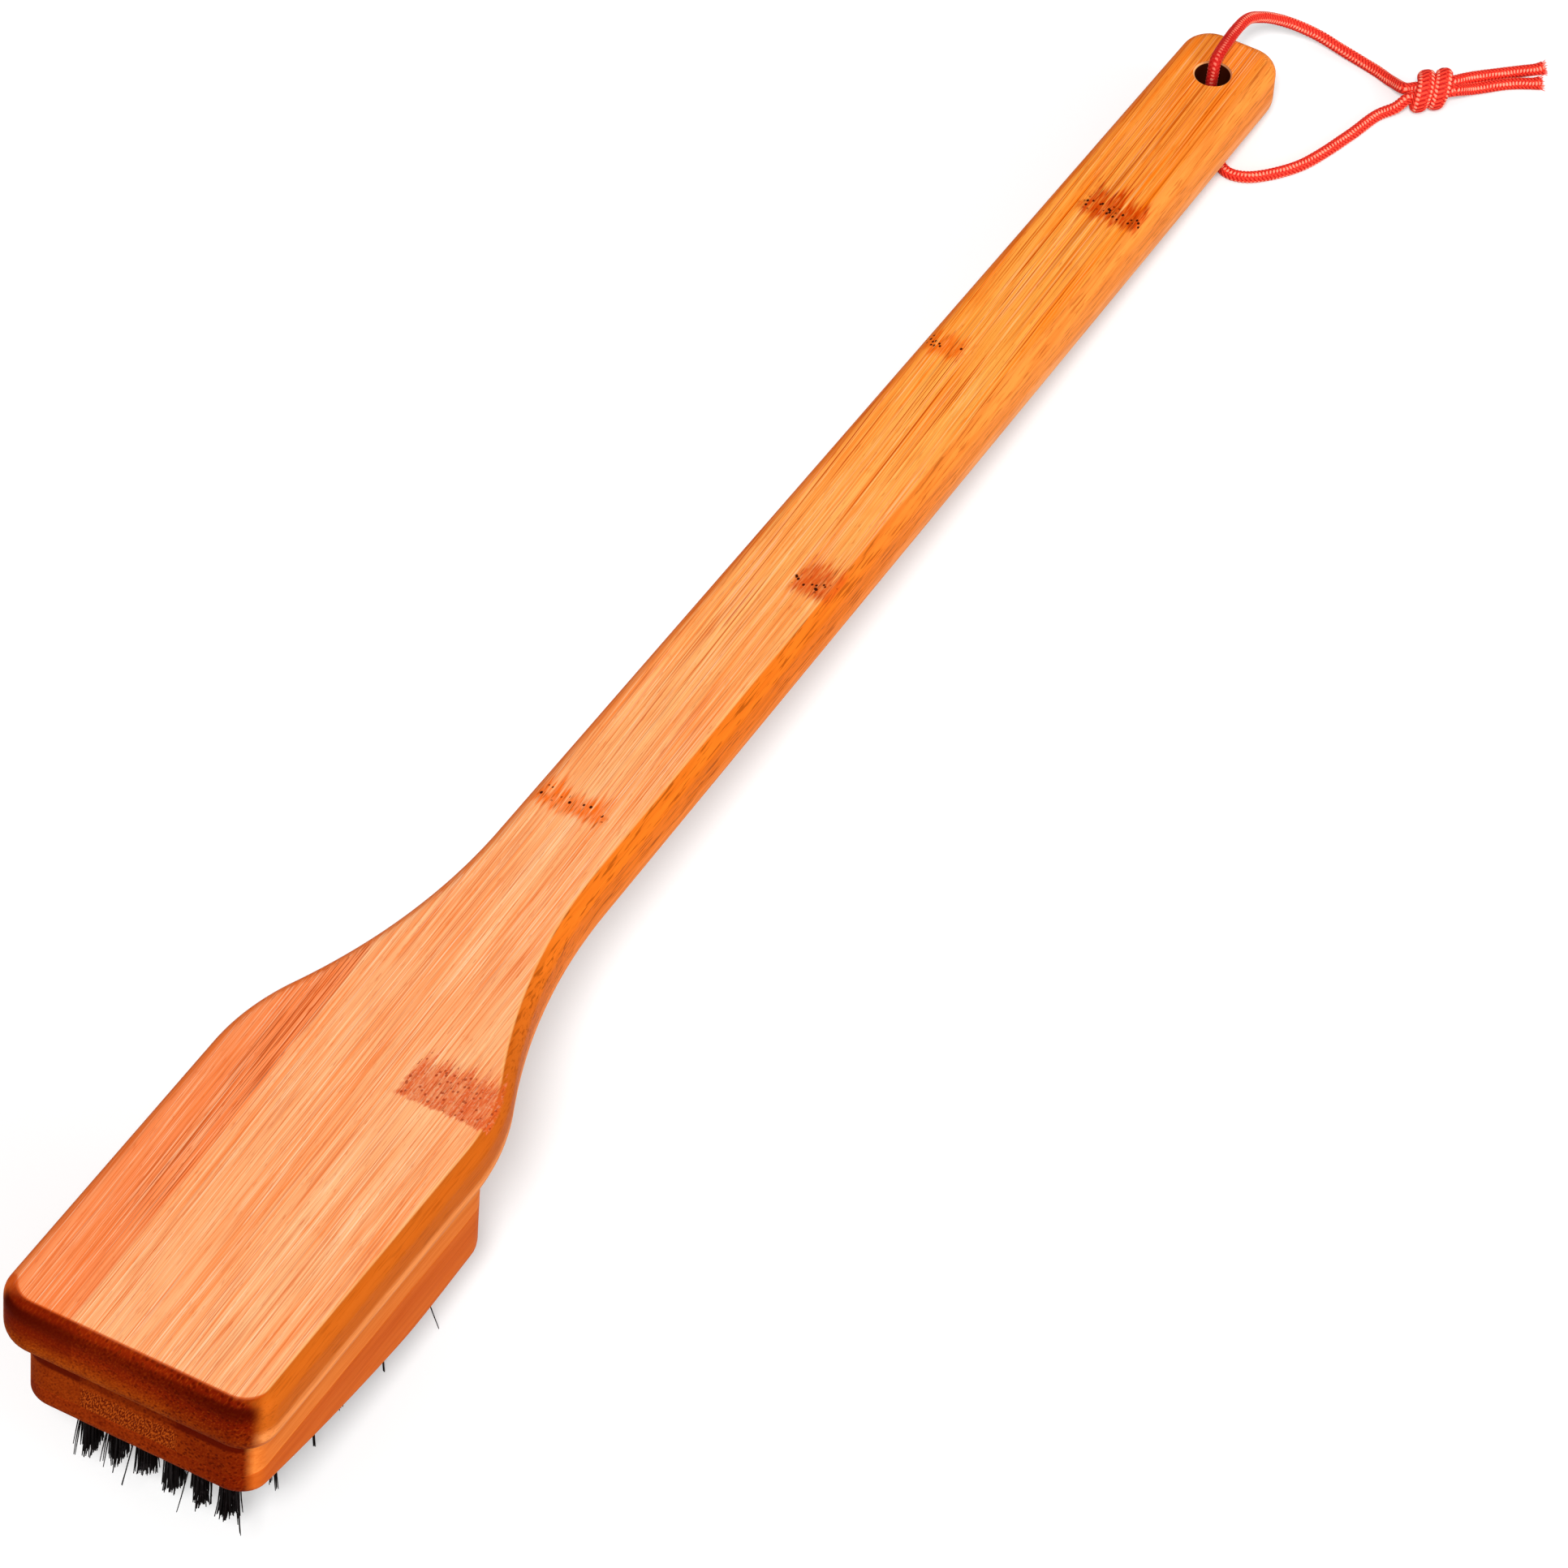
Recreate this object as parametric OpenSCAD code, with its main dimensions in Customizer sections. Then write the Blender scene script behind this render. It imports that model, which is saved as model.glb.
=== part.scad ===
// Grill brush: a long bamboo board that narrows from a wide head to a straight handle, a two-ply
// bamboo block glued under the head and set with rows of steel wire tufts, and a cord through the
// handle's end. The block's underside curves up towards the front, so the brush rests on its rear
// tufts and the handle's end.

/* [Board] */
// Length of the board, from the head's front to the handle's end
board_length = 460; // [420:1:500]
// Thickness of the board
board_thickness = 15; // [12:0.5:18]
// Width of the head
head_width = 60.6; // [56:0.2:68]
// Length of the head's straight sides, counted from its front
head_length = 81; // [60:1:100]
// Length over which the head narrows to the handle
neck_length = 81; // [60:1:110]
// Share of the neck's S-curve taken by the outer curve at the shoulder
shoulder_share = 0.27; // [0.15:0.01:0.6]
// Width of the handle where the neck meets it
handle_width_neck = 26.2; // [22:0.2:30]
// Width of the handle at its end
handle_width_end = 22.2; // [20:0.2:28]
// Corner radius of the head, seen from above
head_corner = 8; // [7:0.5:16]
// Corner radius of the handle's end, seen from above
handle_corner = 7; // [7:0.5:10]
// Radius of the board's upper edges
top_round = 3; // [1:0.25:4]
// Radius of the board's lower edges
bottom_round = 6; // [3:0.25:6.5]
// Diameter of the hole for the hanging cord
hang_hole_diameter = 7.8; // [6.5:0.1:9]
// Distance from the handle's end to the centre of that hole
hang_hole_inset = 14.5; // [13:0.1:20]
// Bevel at both mouths of that hole
hang_hole_bevel = 0.4; // [0.3:0.1:0.8]

/* [Brush block] */
// Length of the block under the head
block_length = 90.5; // [80:0.5:100]
// Width of the board's edge that stays bare round the block
block_inset = 4.2; // [2:0.1:7]
// Corner radius of the block, seen from above
block_corner = 6.5; // [4:0.5:12]
// Thickness of the upper ply
upper_ply = 10.2; // [8:0.1:11]
// Depth of the block's underside below the board, at the front
block_depth_front = 15.6; // [14.5:0.1:19]
// Depth of the block's underside below the board, at the rear
block_depth_rear = 25.7; // [22:0.1:30]
// Radius of the block's lower edges
block_round = 2.5; // [1:0.25:3]

/* [Bristles] */
// Rows of tufts along the block; every second row has one tuft fewer and sits between the others
tuft_rows = 11; // [9:1:12]
// Tufts across the block in the wider rows
tuft_columns = 6; // [4:1:7]
// Distance from the block's front to the first row
tuft_margin_front = 10.6; // [8:0.1:14]
// Distance from the last row to the block's rear
tuft_margin_rear = 13.9; // [8:0.1:18]
// Distance from the block's sides to the outer tufts
tuft_margin_side = 10.5; // [8:0.1:12]
// Diameter of the holes that hold the tufts
tuft_hole_diameter = 4.2; // [3.4:0.1:4.6]
// Depth of those holes below the block's curved face
tuft_hole_depth = 7; // [5:0.25:9]
// Clearance round a tuft in its hole
tuft_clearance = 0.05; // [0.02:0.01:0.1]
// Length of the bristles outside the block
bristle_length = 16; // [12:0.5:22]
// Length of a tuft's straight part outside its hole, before it spreads
tuft_straight = 1; // [0.5:0.25:3]
// Gap left between the spread tips of neighbouring tufts
tuft_tip_gap = 1; // [0.4:0.1:1.6]
// Thickness of the steel anchor that holds a tuft at the bottom of its hole
anchor_thickness = 0.45; // [0.3:0.05:0.6]
// Height of that anchor
anchor_height = 1.6; // [1.2:0.1:2.4]
// Distance from the anchor's ends to the wall of the hole
anchor_gap = 0.4; // [0.2:0.05:0.8]

/* [Hanging cord] */
// Diameter of the cord
cord_diameter = 2.4; // [2:0.1:2.4]
// Clearance between the two strands where they enter the knot
strand_gap = 0.2; // [0.1:0.05:0.5]
// Diameter of the knot over its wraps
knot_diameter = 8.8; // [8:0.1:10]
// Length of the knot
knot_length = 9.2; // [8:0.1:11]

/* [Resting] */
// Height of the handle's end over the surface, where the cord lies beneath it
end_lift = 1.25; // [1:0.05:3]

/* [Hidden] */

// Faces of curves that stay true circles, and steps of the lofted ones
round_faces = 48;
tuft_faces = 24;
corner_steps = 8;
shoulder_steps = 8;
neck_steps = 14;
bottom_steps = 6;
top_steps = 5;
cord_sides = 8;
loop_steps = 3;
tail_steps = 2;
// Length by which a cutter runs past the face it opens
overrun = 1;

bamboo = [0.83, 0.50, 0.20];
bamboo_pale = [0.87, 0.62, 0.36];
bamboo_dark = [0.66, 0.40, 0.20];
wire = [0.20, 0.20, 0.21];
steel = [0.72, 0.72, 0.74];
cord_red = [0.86, 0.13, 0.17];

// Edge radii, kept within the walls they round
lower_edge = min(bottom_round, 0.9 * min(head_corner, handle_corner));
upper_edge = min(top_round, board_thickness - lower_edge - 1);
block_edge = min(block_round, 0.8 * (block_depth_front - upper_ply));

// The neck: two arcs of one turn that leave the head's side and meet the handle's side smoothly
head_half = head_width / 2;
neck_half = handle_width_neck / 2;
end_half = handle_width_end / 2;
neck_end = head_length + neck_length;
neck_turn = 2 * atan((head_half - neck_half) / neck_length);
neck_radii = neck_length / sin(neck_turn);
shoulder_radius = shoulder_share * neck_radii;
hollow_radius = neck_radii - shoulder_radius;

// The block and its rows of tufts
block_half = head_half - block_inset;
block_end = block_inset + block_length;
row_pitch = (block_length - tuft_margin_front - tuft_margin_rear) / (tuft_rows - 1);
column_pitch = 2 * (block_half - tuft_margin_side) / (tuft_columns - 1);
tuft_diameter = tuft_hole_diameter - 2 * tuft_clearance;
tip_diameter = min(column_pitch, norm([row_pitch, column_pitch / 2])) - tuft_tip_gap;

// The rest pose: the last row's tips touch the surface, and the handle's end is end_lift above it
last_row_x = row_x(tuft_rows);
last_tip_depth = block_depth(last_row_x) + bristle_length;
rest_reach = board_length - lower_edge - last_row_x - tip_diameter / 2;
rest_drop = last_tip_depth + lower_edge;
rest_pitch = atan2(rest_drop, rest_reach) - asin((lower_edge + end_lift) / norm([rest_reach, rest_drop]));
pose_z = lower_edge + end_lift + (board_length - lower_edge) * sin(rest_pitch) - lower_edge * cos(rest_pitch);
front_reach = lower_edge * (cos(rest_pitch) + sin(rest_pitch) - 1);
end_reach = (board_length - upper_edge) * cos(rest_pitch) + (board_thickness - upper_edge) * sin(rest_pitch)
    + upper_edge;
pose_x = -(front_reach + end_reach) / 2;

// The cord's route, in the frame the brush rests in: from the knot over the handle's end, down
// through the hole, and back beneath the handle to the knot
knot_heading = -48;
knot_centre = [245.5, -38.5, knot_diameter / 2];
knot_axis = [cos(knot_heading), sin(knot_heading), 0];
knot_side = [-sin(knot_heading), cos(knot_heading), 0];
strand_offset = (cord_diameter + strand_gap) / 2;
knot_core_radius = strand_offset + cord_diameter / 2 + 0.3;
wrap_radius = (knot_diameter - cord_diameter) / 2;
wrap_offset = cord_diameter * 0.6;
knot_pull = 4;
loop_route = [
    [245.5, -29, 2.2],
    [247.5, -24, 1.35],
    [248.5, -16.5, 2],
    [248.5, -8.5, 4],
    [245.5, -2.5, 7.5],
    [240, 1, 12],
    [233, 2, 16],
    [219.5, 1, 18.5],
    [216, 0.5, 15.5],
    [215, 0.5, 10],
    [214, 0.5, 4.5],
    [213, -0.5, 1.9],
    [211, -2.5, 1.25],
    [204.5, -8.5, 1.25],
    [204.5, -14, 1.25],
    [209, -19.5, 1.25],
    [215.5, -24, 1.25],
    [226.5, -28, 1.25],
    [235, -30.5, 1.35],
    [238.5, -33.5, 2.4]
];
first_tail = [[254.5, -44, 3], [261.5, -50, 1.4], [266.5, -56, 1.25]];
second_tail = [[252.5, -45.5, 2], [258.5, -51.5, 1.3], [262, -57.5, 1.25]];

function row_name(row) = str("bristle_row_", row < 10 ? "0" : "", row);
function row_x(row) = block_inset + tuft_margin_front + (row - 1) * row_pitch;
function row_tufts(row) = tuft_columns - (row % 2 == 0 ? 1 : 0);

// Depth of the block's curved underside below the board, at a distance from the head's front
function block_depth(x) =
    let (rise = block_depth_rear - block_depth_front)
    block_depth_rear - rise * ((block_end - x) / block_length) ^ 2;

// Outline points along an arc, each with its outward normal; side is -1 for a hollow arc
function arc(centre, radius, from, to, steps, side = 1, first = 0) = [
    for (k = [first:steps])
        let (a = from + (to - from) * k / steps)
        [centre[0] + radius * cos(a), centre[1] + radius * sin(a), side * cos(a), side * sin(a)]
];

// The board's outline on its +Y side, from the head's front to the handle's end
function board_half() = concat(
    arc([head_corner, head_half - head_corner], head_corner, 180, 90, corner_steps),
    arc([head_length, head_half - shoulder_radius], shoulder_radius, 90, 90 - neck_turn, shoulder_steps),
    arc([neck_end, neck_half + hollow_radius], hollow_radius, 270 - neck_turn, 270, neck_steps, -1, 1),
    arc([board_length - handle_corner, end_half - handle_corner], handle_corner, 90, 0, corner_steps)
);

// The block's outline on its +Y side, with a point between each two rows of tufts
function block_outline() =
    let (first = block_inset + block_corner, last = block_end - block_corner)
    concat(
        arc([first, block_half - block_corner], block_corner, 180, 90, corner_steps),
        [for (k = [1:tuft_rows - 1]) [first + (last - first) * k / tuft_rows, block_half, 0, 1]],
        arc([last, block_half - block_corner], block_corner, 90, 0, corner_steps)
    );

// Sections of a rounded edge: how far each is drawn in, its height, and whether it follows the
// curved underside
function lower_round(radius, steps, follow) = [
    for (k = [0:steps])
        let (a = 90 - 90 * k / steps)
        [radius * (1 - cos(a)), radius * (1 - sin(a)), follow]
];
function upper_round(radius, top, steps) = [
    for (k = [0:steps])
        let (a = 90 * k / steps)
        [radius * (1 - cos(a)), top - radius * (1 - sin(a)), 0]
];

// Smooth curve through the route's points: each sample is a place and the direction there
function route_samples(route, steps) = [
    for (i = [1:len(route) - 3], k = [0:(i == len(route) - 3 ? steps : steps - 1)])
        let (t = k / steps, p = route[i], q = route[i + 1],
            m = (q - route[i - 1]) / 2, n = (route[i + 2] - p) / 2)
        [
            (2 * t ^ 3 - 3 * t ^ 2 + 1) * p + (t ^ 3 - 2 * t ^ 2 + t) * m
                + (3 * t ^ 2 - 2 * t ^ 3) * q + (t ^ 3 - t ^ 2) * n,
            unit((6 * t ^ 2 - 6 * t) * (p - q) + (3 * t ^ 2 - 4 * t + 1) * m + (3 * t ^ 2 - 2 * t) * n)
        ]
];
function unit(v) = v / norm(v);

// A route with the extra points that set its direction where it leaves and enters the knot
function led_route(points, leave, enter) =
    let (last = len(points) - 1)
    concat([points[1] - 2 * leave], points, [points[last - 1] + 2 * enter]);

// One side direction for each sample, carried along so that the tube doesn't twist
function carried(samples, side, i = 0) =
    i == len(samples) ? [] :
    let (along = samples[i][1], level = unit(side - (side * along) * along))
    concat([level], carried(samples, level, i + 1));

// A place on one of the knot's flat ends: end is -1 towards the brush, strand is 1 or -1
function knot_mouth(end, strand) =
    knot_centre + end * knot_length / 2 * knot_axis + strand * strand_offset * knot_side;

// Stands the brush as it rests
module rest_pose() {
    translate([pose_x, 0, pose_z])
        rotate([0, rest_pitch, 0])
            children();
}

// A solid through sections of a mirrored outline; under() is the height of the curved underside
module loft(half, sections, under = function (x) 0) {
    count = len(half);
    ring = 2 * count;
    top = (len(sections) - 1) * ring;
    points = [
        for (section = sections, i = [0:ring - 1])
            let (side = i < count ? 1 : -1,
                p = half[i < count ? i : ring - 1 - i],
                x = p[0] - section[0] * p[2],
                y = side * (p[1] - section[0] * p[3]))
            [x, y, section[1] + section[2] * under(x)]
    ];
    walls = [
        for (k = [0:len(sections) - 2], i = [0:ring - 1])
            let (low = k * ring, high = low + ring, next = (i + 1) % ring)
            [low + i, low + next, high + next, high + i]
    ];
    floor_strips = [for (i = [0:count - 2]) [ring - 1 - i, ring - 2 - i, i + 1, i]];
    top_strips = [for (i = [0:count - 2]) [top + i, top + i + 1, top + ring - 2 - i, top + ring - 1 - i]];
    polyhedron(points, concat(walls, floor_strips, top_strips), convexity = 6);
}

// A round tube along a led route
module tube(route, steps) {
    samples = route_samples(route, steps);
    sides = carried(samples, [0, 0, 1]);
    last = (len(samples) - 1) * cord_sides;
    points = [
        for (i = [0:len(samples) - 1], k = [0:cord_sides - 1])
            let (a = 360 * k / cord_sides, across = cross(samples[i][1], sides[i]))
            samples[i][0] + cord_diameter / 2 * (cos(a) * sides[i] + sin(a) * across)
    ];
    walls = [
        for (i = [0:len(samples) - 2], k = [0:cord_sides - 1])
            let (here = i * cord_sides, there = here + cord_sides, next = (k + 1) % cord_sides)
            [here + k, there + k, there + next, here + next]
    ];
    ends = [
        [for (k = [0:cord_sides - 1]) k],
        [for (k = [cord_sides - 1:-1:0]) last + k]
    ];
    polyhedron(points, concat(walls, ends), convexity = 8);
}

// Places its child at the mouth of each tuft's hole in one row, on the curved underside
module along_row(row) {
    side = (row_tufts(row) - 1) / 2;
    for (column = [-side:side])
        translate([row_x(row), column * column_pitch, -block_depth(row_x(row))])
            children();
}

// The cutters of all the tufts' holes
module tuft_holes() {
    for (row = [1:tuft_rows])
        along_row(row)
            translate([0, 0, -overrun])
                cylinder(h = tuft_hole_depth + overrun, d = tuft_hole_diameter, $fn = tuft_faces);
}

// The steel strip over which a tuft's wires are folded, at the bottom of its hole
module anchor() {
    translate([-anchor_thickness / 2, -anchor_width() / 2, tuft_hole_depth - anchor_height])
        cube([anchor_thickness, anchor_width(), anchor_height]);
}
function anchor_width() = tuft_hole_diameter - 2 * anchor_gap;

// One tuft: straight in its hole, then spread towards its tip
module tuft() {
    difference() {
        union() {
            translate([0, 0, -tuft_straight])
                cylinder(h = tuft_hole_depth + tuft_straight, d = tuft_diameter, $fn = tuft_faces);
            translate([0, 0, -bristle_length])
                cylinder(h = bristle_length - tuft_straight, d1 = tip_diameter, d2 = tuft_diameter,
                    $fn = tuft_faces);
        }
        anchor();
    }
}

// The board: head, neck and handle in one piece, with the hole for the cord
module handle_board() {
    color(bamboo)
        rest_pose()
            difference() {
                loft(board_half(), concat(
                    lower_round(lower_edge, bottom_steps, 0),
                    upper_round(upper_edge, board_thickness, top_steps)
                ));
                translate([board_length - hang_hole_inset, 0, 0]) {
                    translate([0, 0, -overrun])
                        cylinder(h = board_thickness + 2 * overrun, d = hang_hole_diameter, $fn = round_faces);
                    for (mouth = [0, 1])
                        translate([0, 0, mouth * board_thickness])
                            mirror([0, 0, mouth])
                                hole_bevel();
                }
            }
}

// The bevel's cutter at the hole's lower mouth
module hole_bevel() {
    translate([0, 0, -hang_hole_bevel])
        cylinder(h = 2 * hang_hole_bevel, d1 = hang_hole_diameter + 4 * hang_hole_bevel,
            d2 = hang_hole_diameter, $fn = round_faces);
}

// The block's upper ply: an even slab glued to the board
module block_upper_ply() {
    inner = block_half - block_corner;
    color(bamboo_pale)
        rest_pose()
            difference() {
                translate([block_inset, 0, -upper_ply])
                    linear_extrude(upper_ply) {
                        translate([block_corner, -block_half])
                            square([block_length - 2 * block_corner, 2 * block_half]);
                        translate([0, -inner])
                            square([block_length, 2 * inner]);
                        for (x = [block_corner, block_length - block_corner], side = [-1, 1])
                            translate([x, side * inner])
                                circle(block_corner, $fn = round_faces);
                    }
                tuft_holes();
            }
}

// The block's lower ply: a wedge with a curved underside, drilled for the tufts
module block_lower_ply() {
    color(bamboo_dark)
        rest_pose()
            difference() {
                loft(block_outline(),
                    concat(lower_round(block_edge, bottom_steps, 1), [[0, -upper_ply, 0]]),
                    function (x) -block_depth(x));
                tuft_holes();
            }
}

// One row of wire tufts across the block
module bristle_row(row) {
    color(wire)
        rest_pose()
            along_row(row)
                tuft();
}

// The steel anchors of all the tufts
module tuft_anchors() {
    color(steel)
        rest_pose()
            for (row = [1:tuft_rows])
                along_row(row)
                    anchor();
}

// The cord's loop, from the knot through the handle's hole and back
module hang_cord() {
    points = concat([knot_mouth(-1, 1)], loop_route, [knot_mouth(-1, -1)]);
    color(cord_red)
        tube(led_route(points, -knot_pull * knot_axis, knot_pull * knot_axis), loop_steps);
}

// The knot: a core that the strands enter, with two wraps round it
module cord_knot() {
    color(cord_red)
        translate(knot_centre)
            rotate([0, 90, knot_heading]) {
                cylinder(h = knot_length, r = knot_core_radius, center = true, $fn = round_faces);
                for (side = [-1, 1])
                    translate([0, 0, side * wrap_offset])
                        rotate_extrude($fn = round_faces)
                            translate([wrap_radius, 0])
                                circle(d = cord_diameter, $fn = tuft_faces);
            }
}

// The cord's two free ends beyond the knot
module cord_tails() {
    color(cord_red)
        for (tail = [[1, first_tail], [-1, second_tail]]) {
            points = concat([knot_mouth(1, tail[0])], tail[1]);
            last = len(points) - 1;
            tube(led_route(points, knot_pull * knot_axis, (points[last] - points[last - 1]) / 2), tail_steps);
        }
}

handle_board();
block_upper_ply();
block_lower_ply();
for (row = [1:tuft_rows])
    bristle_row(row);
tuft_anchors();
hang_cord();
cord_knot();
cord_tails();
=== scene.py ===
"""Grill brush: a bamboo board with a block of wire tufts under its head and a braided cord."""

import math
import random

import bpy
import numpy as np
from bpy.props import FloatProperty, FloatVectorProperty, IntProperty, PointerProperty
from mathutils import Matrix, Vector


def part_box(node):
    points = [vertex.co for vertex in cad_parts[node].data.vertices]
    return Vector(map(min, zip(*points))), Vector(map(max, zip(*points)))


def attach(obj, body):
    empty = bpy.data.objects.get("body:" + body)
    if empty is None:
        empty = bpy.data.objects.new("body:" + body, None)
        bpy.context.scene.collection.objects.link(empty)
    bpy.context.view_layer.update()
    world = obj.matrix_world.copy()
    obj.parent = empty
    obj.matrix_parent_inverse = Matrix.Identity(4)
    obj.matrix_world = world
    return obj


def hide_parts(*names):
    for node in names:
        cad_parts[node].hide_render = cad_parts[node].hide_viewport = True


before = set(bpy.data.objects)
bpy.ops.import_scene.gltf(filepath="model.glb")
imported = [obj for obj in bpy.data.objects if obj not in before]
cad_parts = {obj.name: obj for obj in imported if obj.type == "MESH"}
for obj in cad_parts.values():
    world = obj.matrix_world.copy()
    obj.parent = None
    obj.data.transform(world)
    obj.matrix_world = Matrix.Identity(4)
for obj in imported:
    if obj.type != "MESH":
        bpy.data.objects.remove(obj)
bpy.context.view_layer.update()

bl_info = {
    "name": "Grill brush",
    "version": (1, 0, 0),
    "blender": (4, 5, 0),
    "location": "View3D > Sidebar > Grill brush",
    "description": "Builds a bamboo grill brush, piece by piece, round its packed frame",
    "category": "Add Mesh",
}

MM = 0.001


def paint(red, green, blue):
    """Linear colour of a paint written in 0 to 255 display values."""
    return tuple(
        value / 12.92 if value <= 0.04045 else ((value + 0.055) / 1.055) ** 2.4
        for value in (red / 255, green / 255, blue / 255)
    )


def length(name, description, default):
    return FloatProperty(
        name=name, description=description, default=default, min=0.0, precision=5, unit="LENGTH"
    )


def colour(name, description, default):
    return FloatVectorProperty(
        name=name, description=description, default=default, min=0.0, max=1.0, subtype="COLOR"
    )


class GrillBoardSettings(bpy.types.PropertyGroup):
    """Sizes and colours of the board"""

    length: length("Length", "From the head's front to the handle's end", 0.460)
    thickness: length("Thickness", "Thickness of the board", 0.015)
    head_width: length("Head width", "Width of the head", 0.0606)
    head_length: length("Head length", "Length of the head's straight sides", 0.081)
    neck_length: length("Neck length", "Length over which the head narrows", 0.081)
    shoulder_share: FloatProperty(
        name="Shoulder share", description="Share of the neck's curve taken by the shoulder",
        default=0.27, min=0.1, max=0.9, subtype="FACTOR",
    )
    handle_width_neck: length("Handle width at the neck", "Width where the neck ends", 0.0262)
    handle_width_end: length("Handle width at its end", "Width at the handle's end", 0.0222)
    head_corner: length("Head corner", "Corner radius of the head from above", 0.008)
    handle_corner: length("Handle corner", "Corner radius of the handle's end", 0.007)
    top_round: length("Top edge", "Radius of the upper edges", 0.003)
    bottom_round: length("Bottom edge", "Radius of the lower edges", 0.006)
    hole_diameter: length("Hole", "Diameter of the hole for the cord", 0.0078)
    hole_inset: length("Hole inset", "From the handle's end to the hole's centre", 0.0145)
    hole_bevel: length("Hole bevel", "Bevel at the hole's mouths", 0.0004)
    end_lift: length("End lift", "Height of the handle's end over the floor", 0.00125)
    wood: colour("Wood", "Light fibres of the board's face", paint(255, 196, 140))
    wood_deep: colour("Deep wood", "Dark fibres of the board's face", paint(250, 138, 72))


class GrillBlockSettings(bpy.types.PropertyGroup):
    """Sizes of the block of tufts"""

    length: length("Length", "Length of the block", 0.0905)
    inset: length("Inset", "Board edge left bare round the block", 0.0042)
    corner: length("Corner", "Corner radius of the block from above", 0.0065)
    upper_ply: length("Upper ply", "Thickness of the upper ply", 0.0102)
    depth_front: length("Front depth", "Depth of the block at its front", 0.0156)
    depth_rear: length("Rear depth", "Depth of the block at its rear", 0.0257)
    lower_round: length("Lower edge", "Radius of the lower edges", 0.0025)


class GrillBristleSettings(bpy.types.PropertyGroup):
    """Sizes of the wire tufts"""

    rows: IntProperty(name="Rows", description="Rows of tufts", default=11, min=2)
    columns: IntProperty(name="Columns", description="Tufts in the wider rows", default=6, min=2)
    wires: IntProperty(name="Wires", description="Wires in a tuft", default=72, min=6)
    margin_front: length("Front margin", "From the block's front to the first row", 0.0106)
    margin_rear: length("Rear margin", "From the last row to the block's rear", 0.0139)
    margin_side: length("Side margin", "From the block's sides to the outer tufts", 0.0105)
    hole_diameter: length("Hole", "Diameter of the holes that hold the tufts", 0.0042)
    hole_depth: length("Hole depth", "Depth of those holes", 0.007)
    length: length("Length", "Length of the bristles outside the block", 0.016)
    tip_gap: length("Tip gap", "Gap between the spread tips of two tufts", 0.001)
    wire: length("Wire", "Diameter of a wire", 0.00038)
    steel: colour("Steel", "Colour of the wires", (0.0030, 0.0015, 0.0015))


class GrillCordSettings(bpy.types.PropertyGroup):
    """Sizes and colours of the hanging cord"""

    diameter: length("Diameter", "Diameter of the cord", 0.0024)
    knot_diameter: length("Knot", "Diameter of the knot over its wraps", 0.0088)
    knot_length: length("Knot length", "Length of the knot", 0.0092)
    strand_gap: length("Strand gap", "Gap between the strands at the knot", 0.0002)
    red: colour("Red", "Colour of the braid", paint(255, 60, 40))
    # Red shaded: painted shade in the gaps between the strands and where the cord leaves the hole
    red_shaded: colour("Deep red", "Colour between the strands", paint(186, 8, 8))
    # Pale glint: a painted highlight on the braid's crests and glint dashes, also the colour of pale fibres
    red_pale_glint: colour("Pale red", "Colour of the stitches", paint(255, 158, 132))


class GrillStageSettings(bpy.types.PropertyGroup):
    """Camera, floor and light"""

    lens: length("Lens", "Focal length on a 36 mm sensor", 0.22384)
    floor_size: length("Floor", "Side of the floor", 8.0)
    ambient: FloatProperty(name="Ambient", description="Level of the soft light", default=0.38)
    key: FloatProperty(name="Key", description="Level of the main light", default=0.73)
    fill: FloatProperty(name="Side fill", description="Level of the light from the right", default=0.50)


ROUGH_STEPS = 40


def reach_along(path):
    """Distance of each point from the path's start."""
    return np.concatenate([[0], np.cumsum(np.linalg.norm(np.diff(path, axis=0), axis=1))])


def path_length(path):
    return float(np.linalg.norm(np.diff(path, axis=0), axis=1).sum())


def even_steps(path, step):
    """The same path with its points a step apart."""
    reach = reach_along(path)
    count = max(2, int(round(reach[-1] / step)) + 1)
    marks = np.linspace(0, reach[-1], count)
    return np.stack([np.interp(marks, reach, path[:, k]) for k in range(3)], axis=1)


def smooth_route(route, leave, enter, step):
    """Places at even steps along the smooth curve through a route's points."""
    points = [route[1] - 2 * leave, *route, route[-2] + 2 * enter]
    rough = []
    for i in range(1, len(points) - 2):
        p, q = points[i], points[i + 1]
        m, n = (q - points[i - 1]) / 2, (points[i + 2] - p) / 2
        for t in np.linspace(0, 1, ROUGH_STEPS, endpoint=False):
            rough.append(
                (2 * t**3 - 3 * t**2 + 1) * p + (t**3 - 2 * t**2 + t) * m
                + (3 * t**2 - 2 * t**3) * q + (t**3 - t**2) * n
            )
    rough.append(points[-2])
    return even_steps(np.array(rough), step)


def smooth_step(t):
    """0 below 0, 1 above 1, smooth between."""
    t = np.clip(t, 0.0, 1.0)
    return t * t * (3 - 2 * t)


def along_path(path):
    """The path's heading at each of its points."""
    along = np.gradient(path, axis=0)
    return along / np.linalg.norm(along, axis=1)[:, None]


def skin(rings, sides, order):
    """Quads between rings of points. Order picks the corners of each from a point, the one on the next
    ring, the one after that, and the one after the first."""
    faces = []
    for i in range(rings - 1):
        here, there = i * sides, (i + 1) * sides
        for k in range(sides):
            after = (k + 1) % sides
            corners = (here + k, there + k, there + after, here + after)
            faces.append(tuple(corners[c] for c in order))
    return faces


def closed_skin(rings, sides):
    """Quads between rings of points, and a flat cap at each end."""
    last = (rings - 1) * sides
    return skin(rings, sides, (0, 3, 2, 1)) + [
        tuple(range(sides))[::-1], tuple(range(last, last + sides))
    ]


def joined(parts):
    """One set of vertices and faces from several."""
    vertices, faces = [], []
    for more_vertices, more_faces in parts:
        start = len(vertices)
        vertices += more_vertices
        faces += [tuple(start + index for index in face) for face in more_faces]
    return vertices, faces


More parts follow.
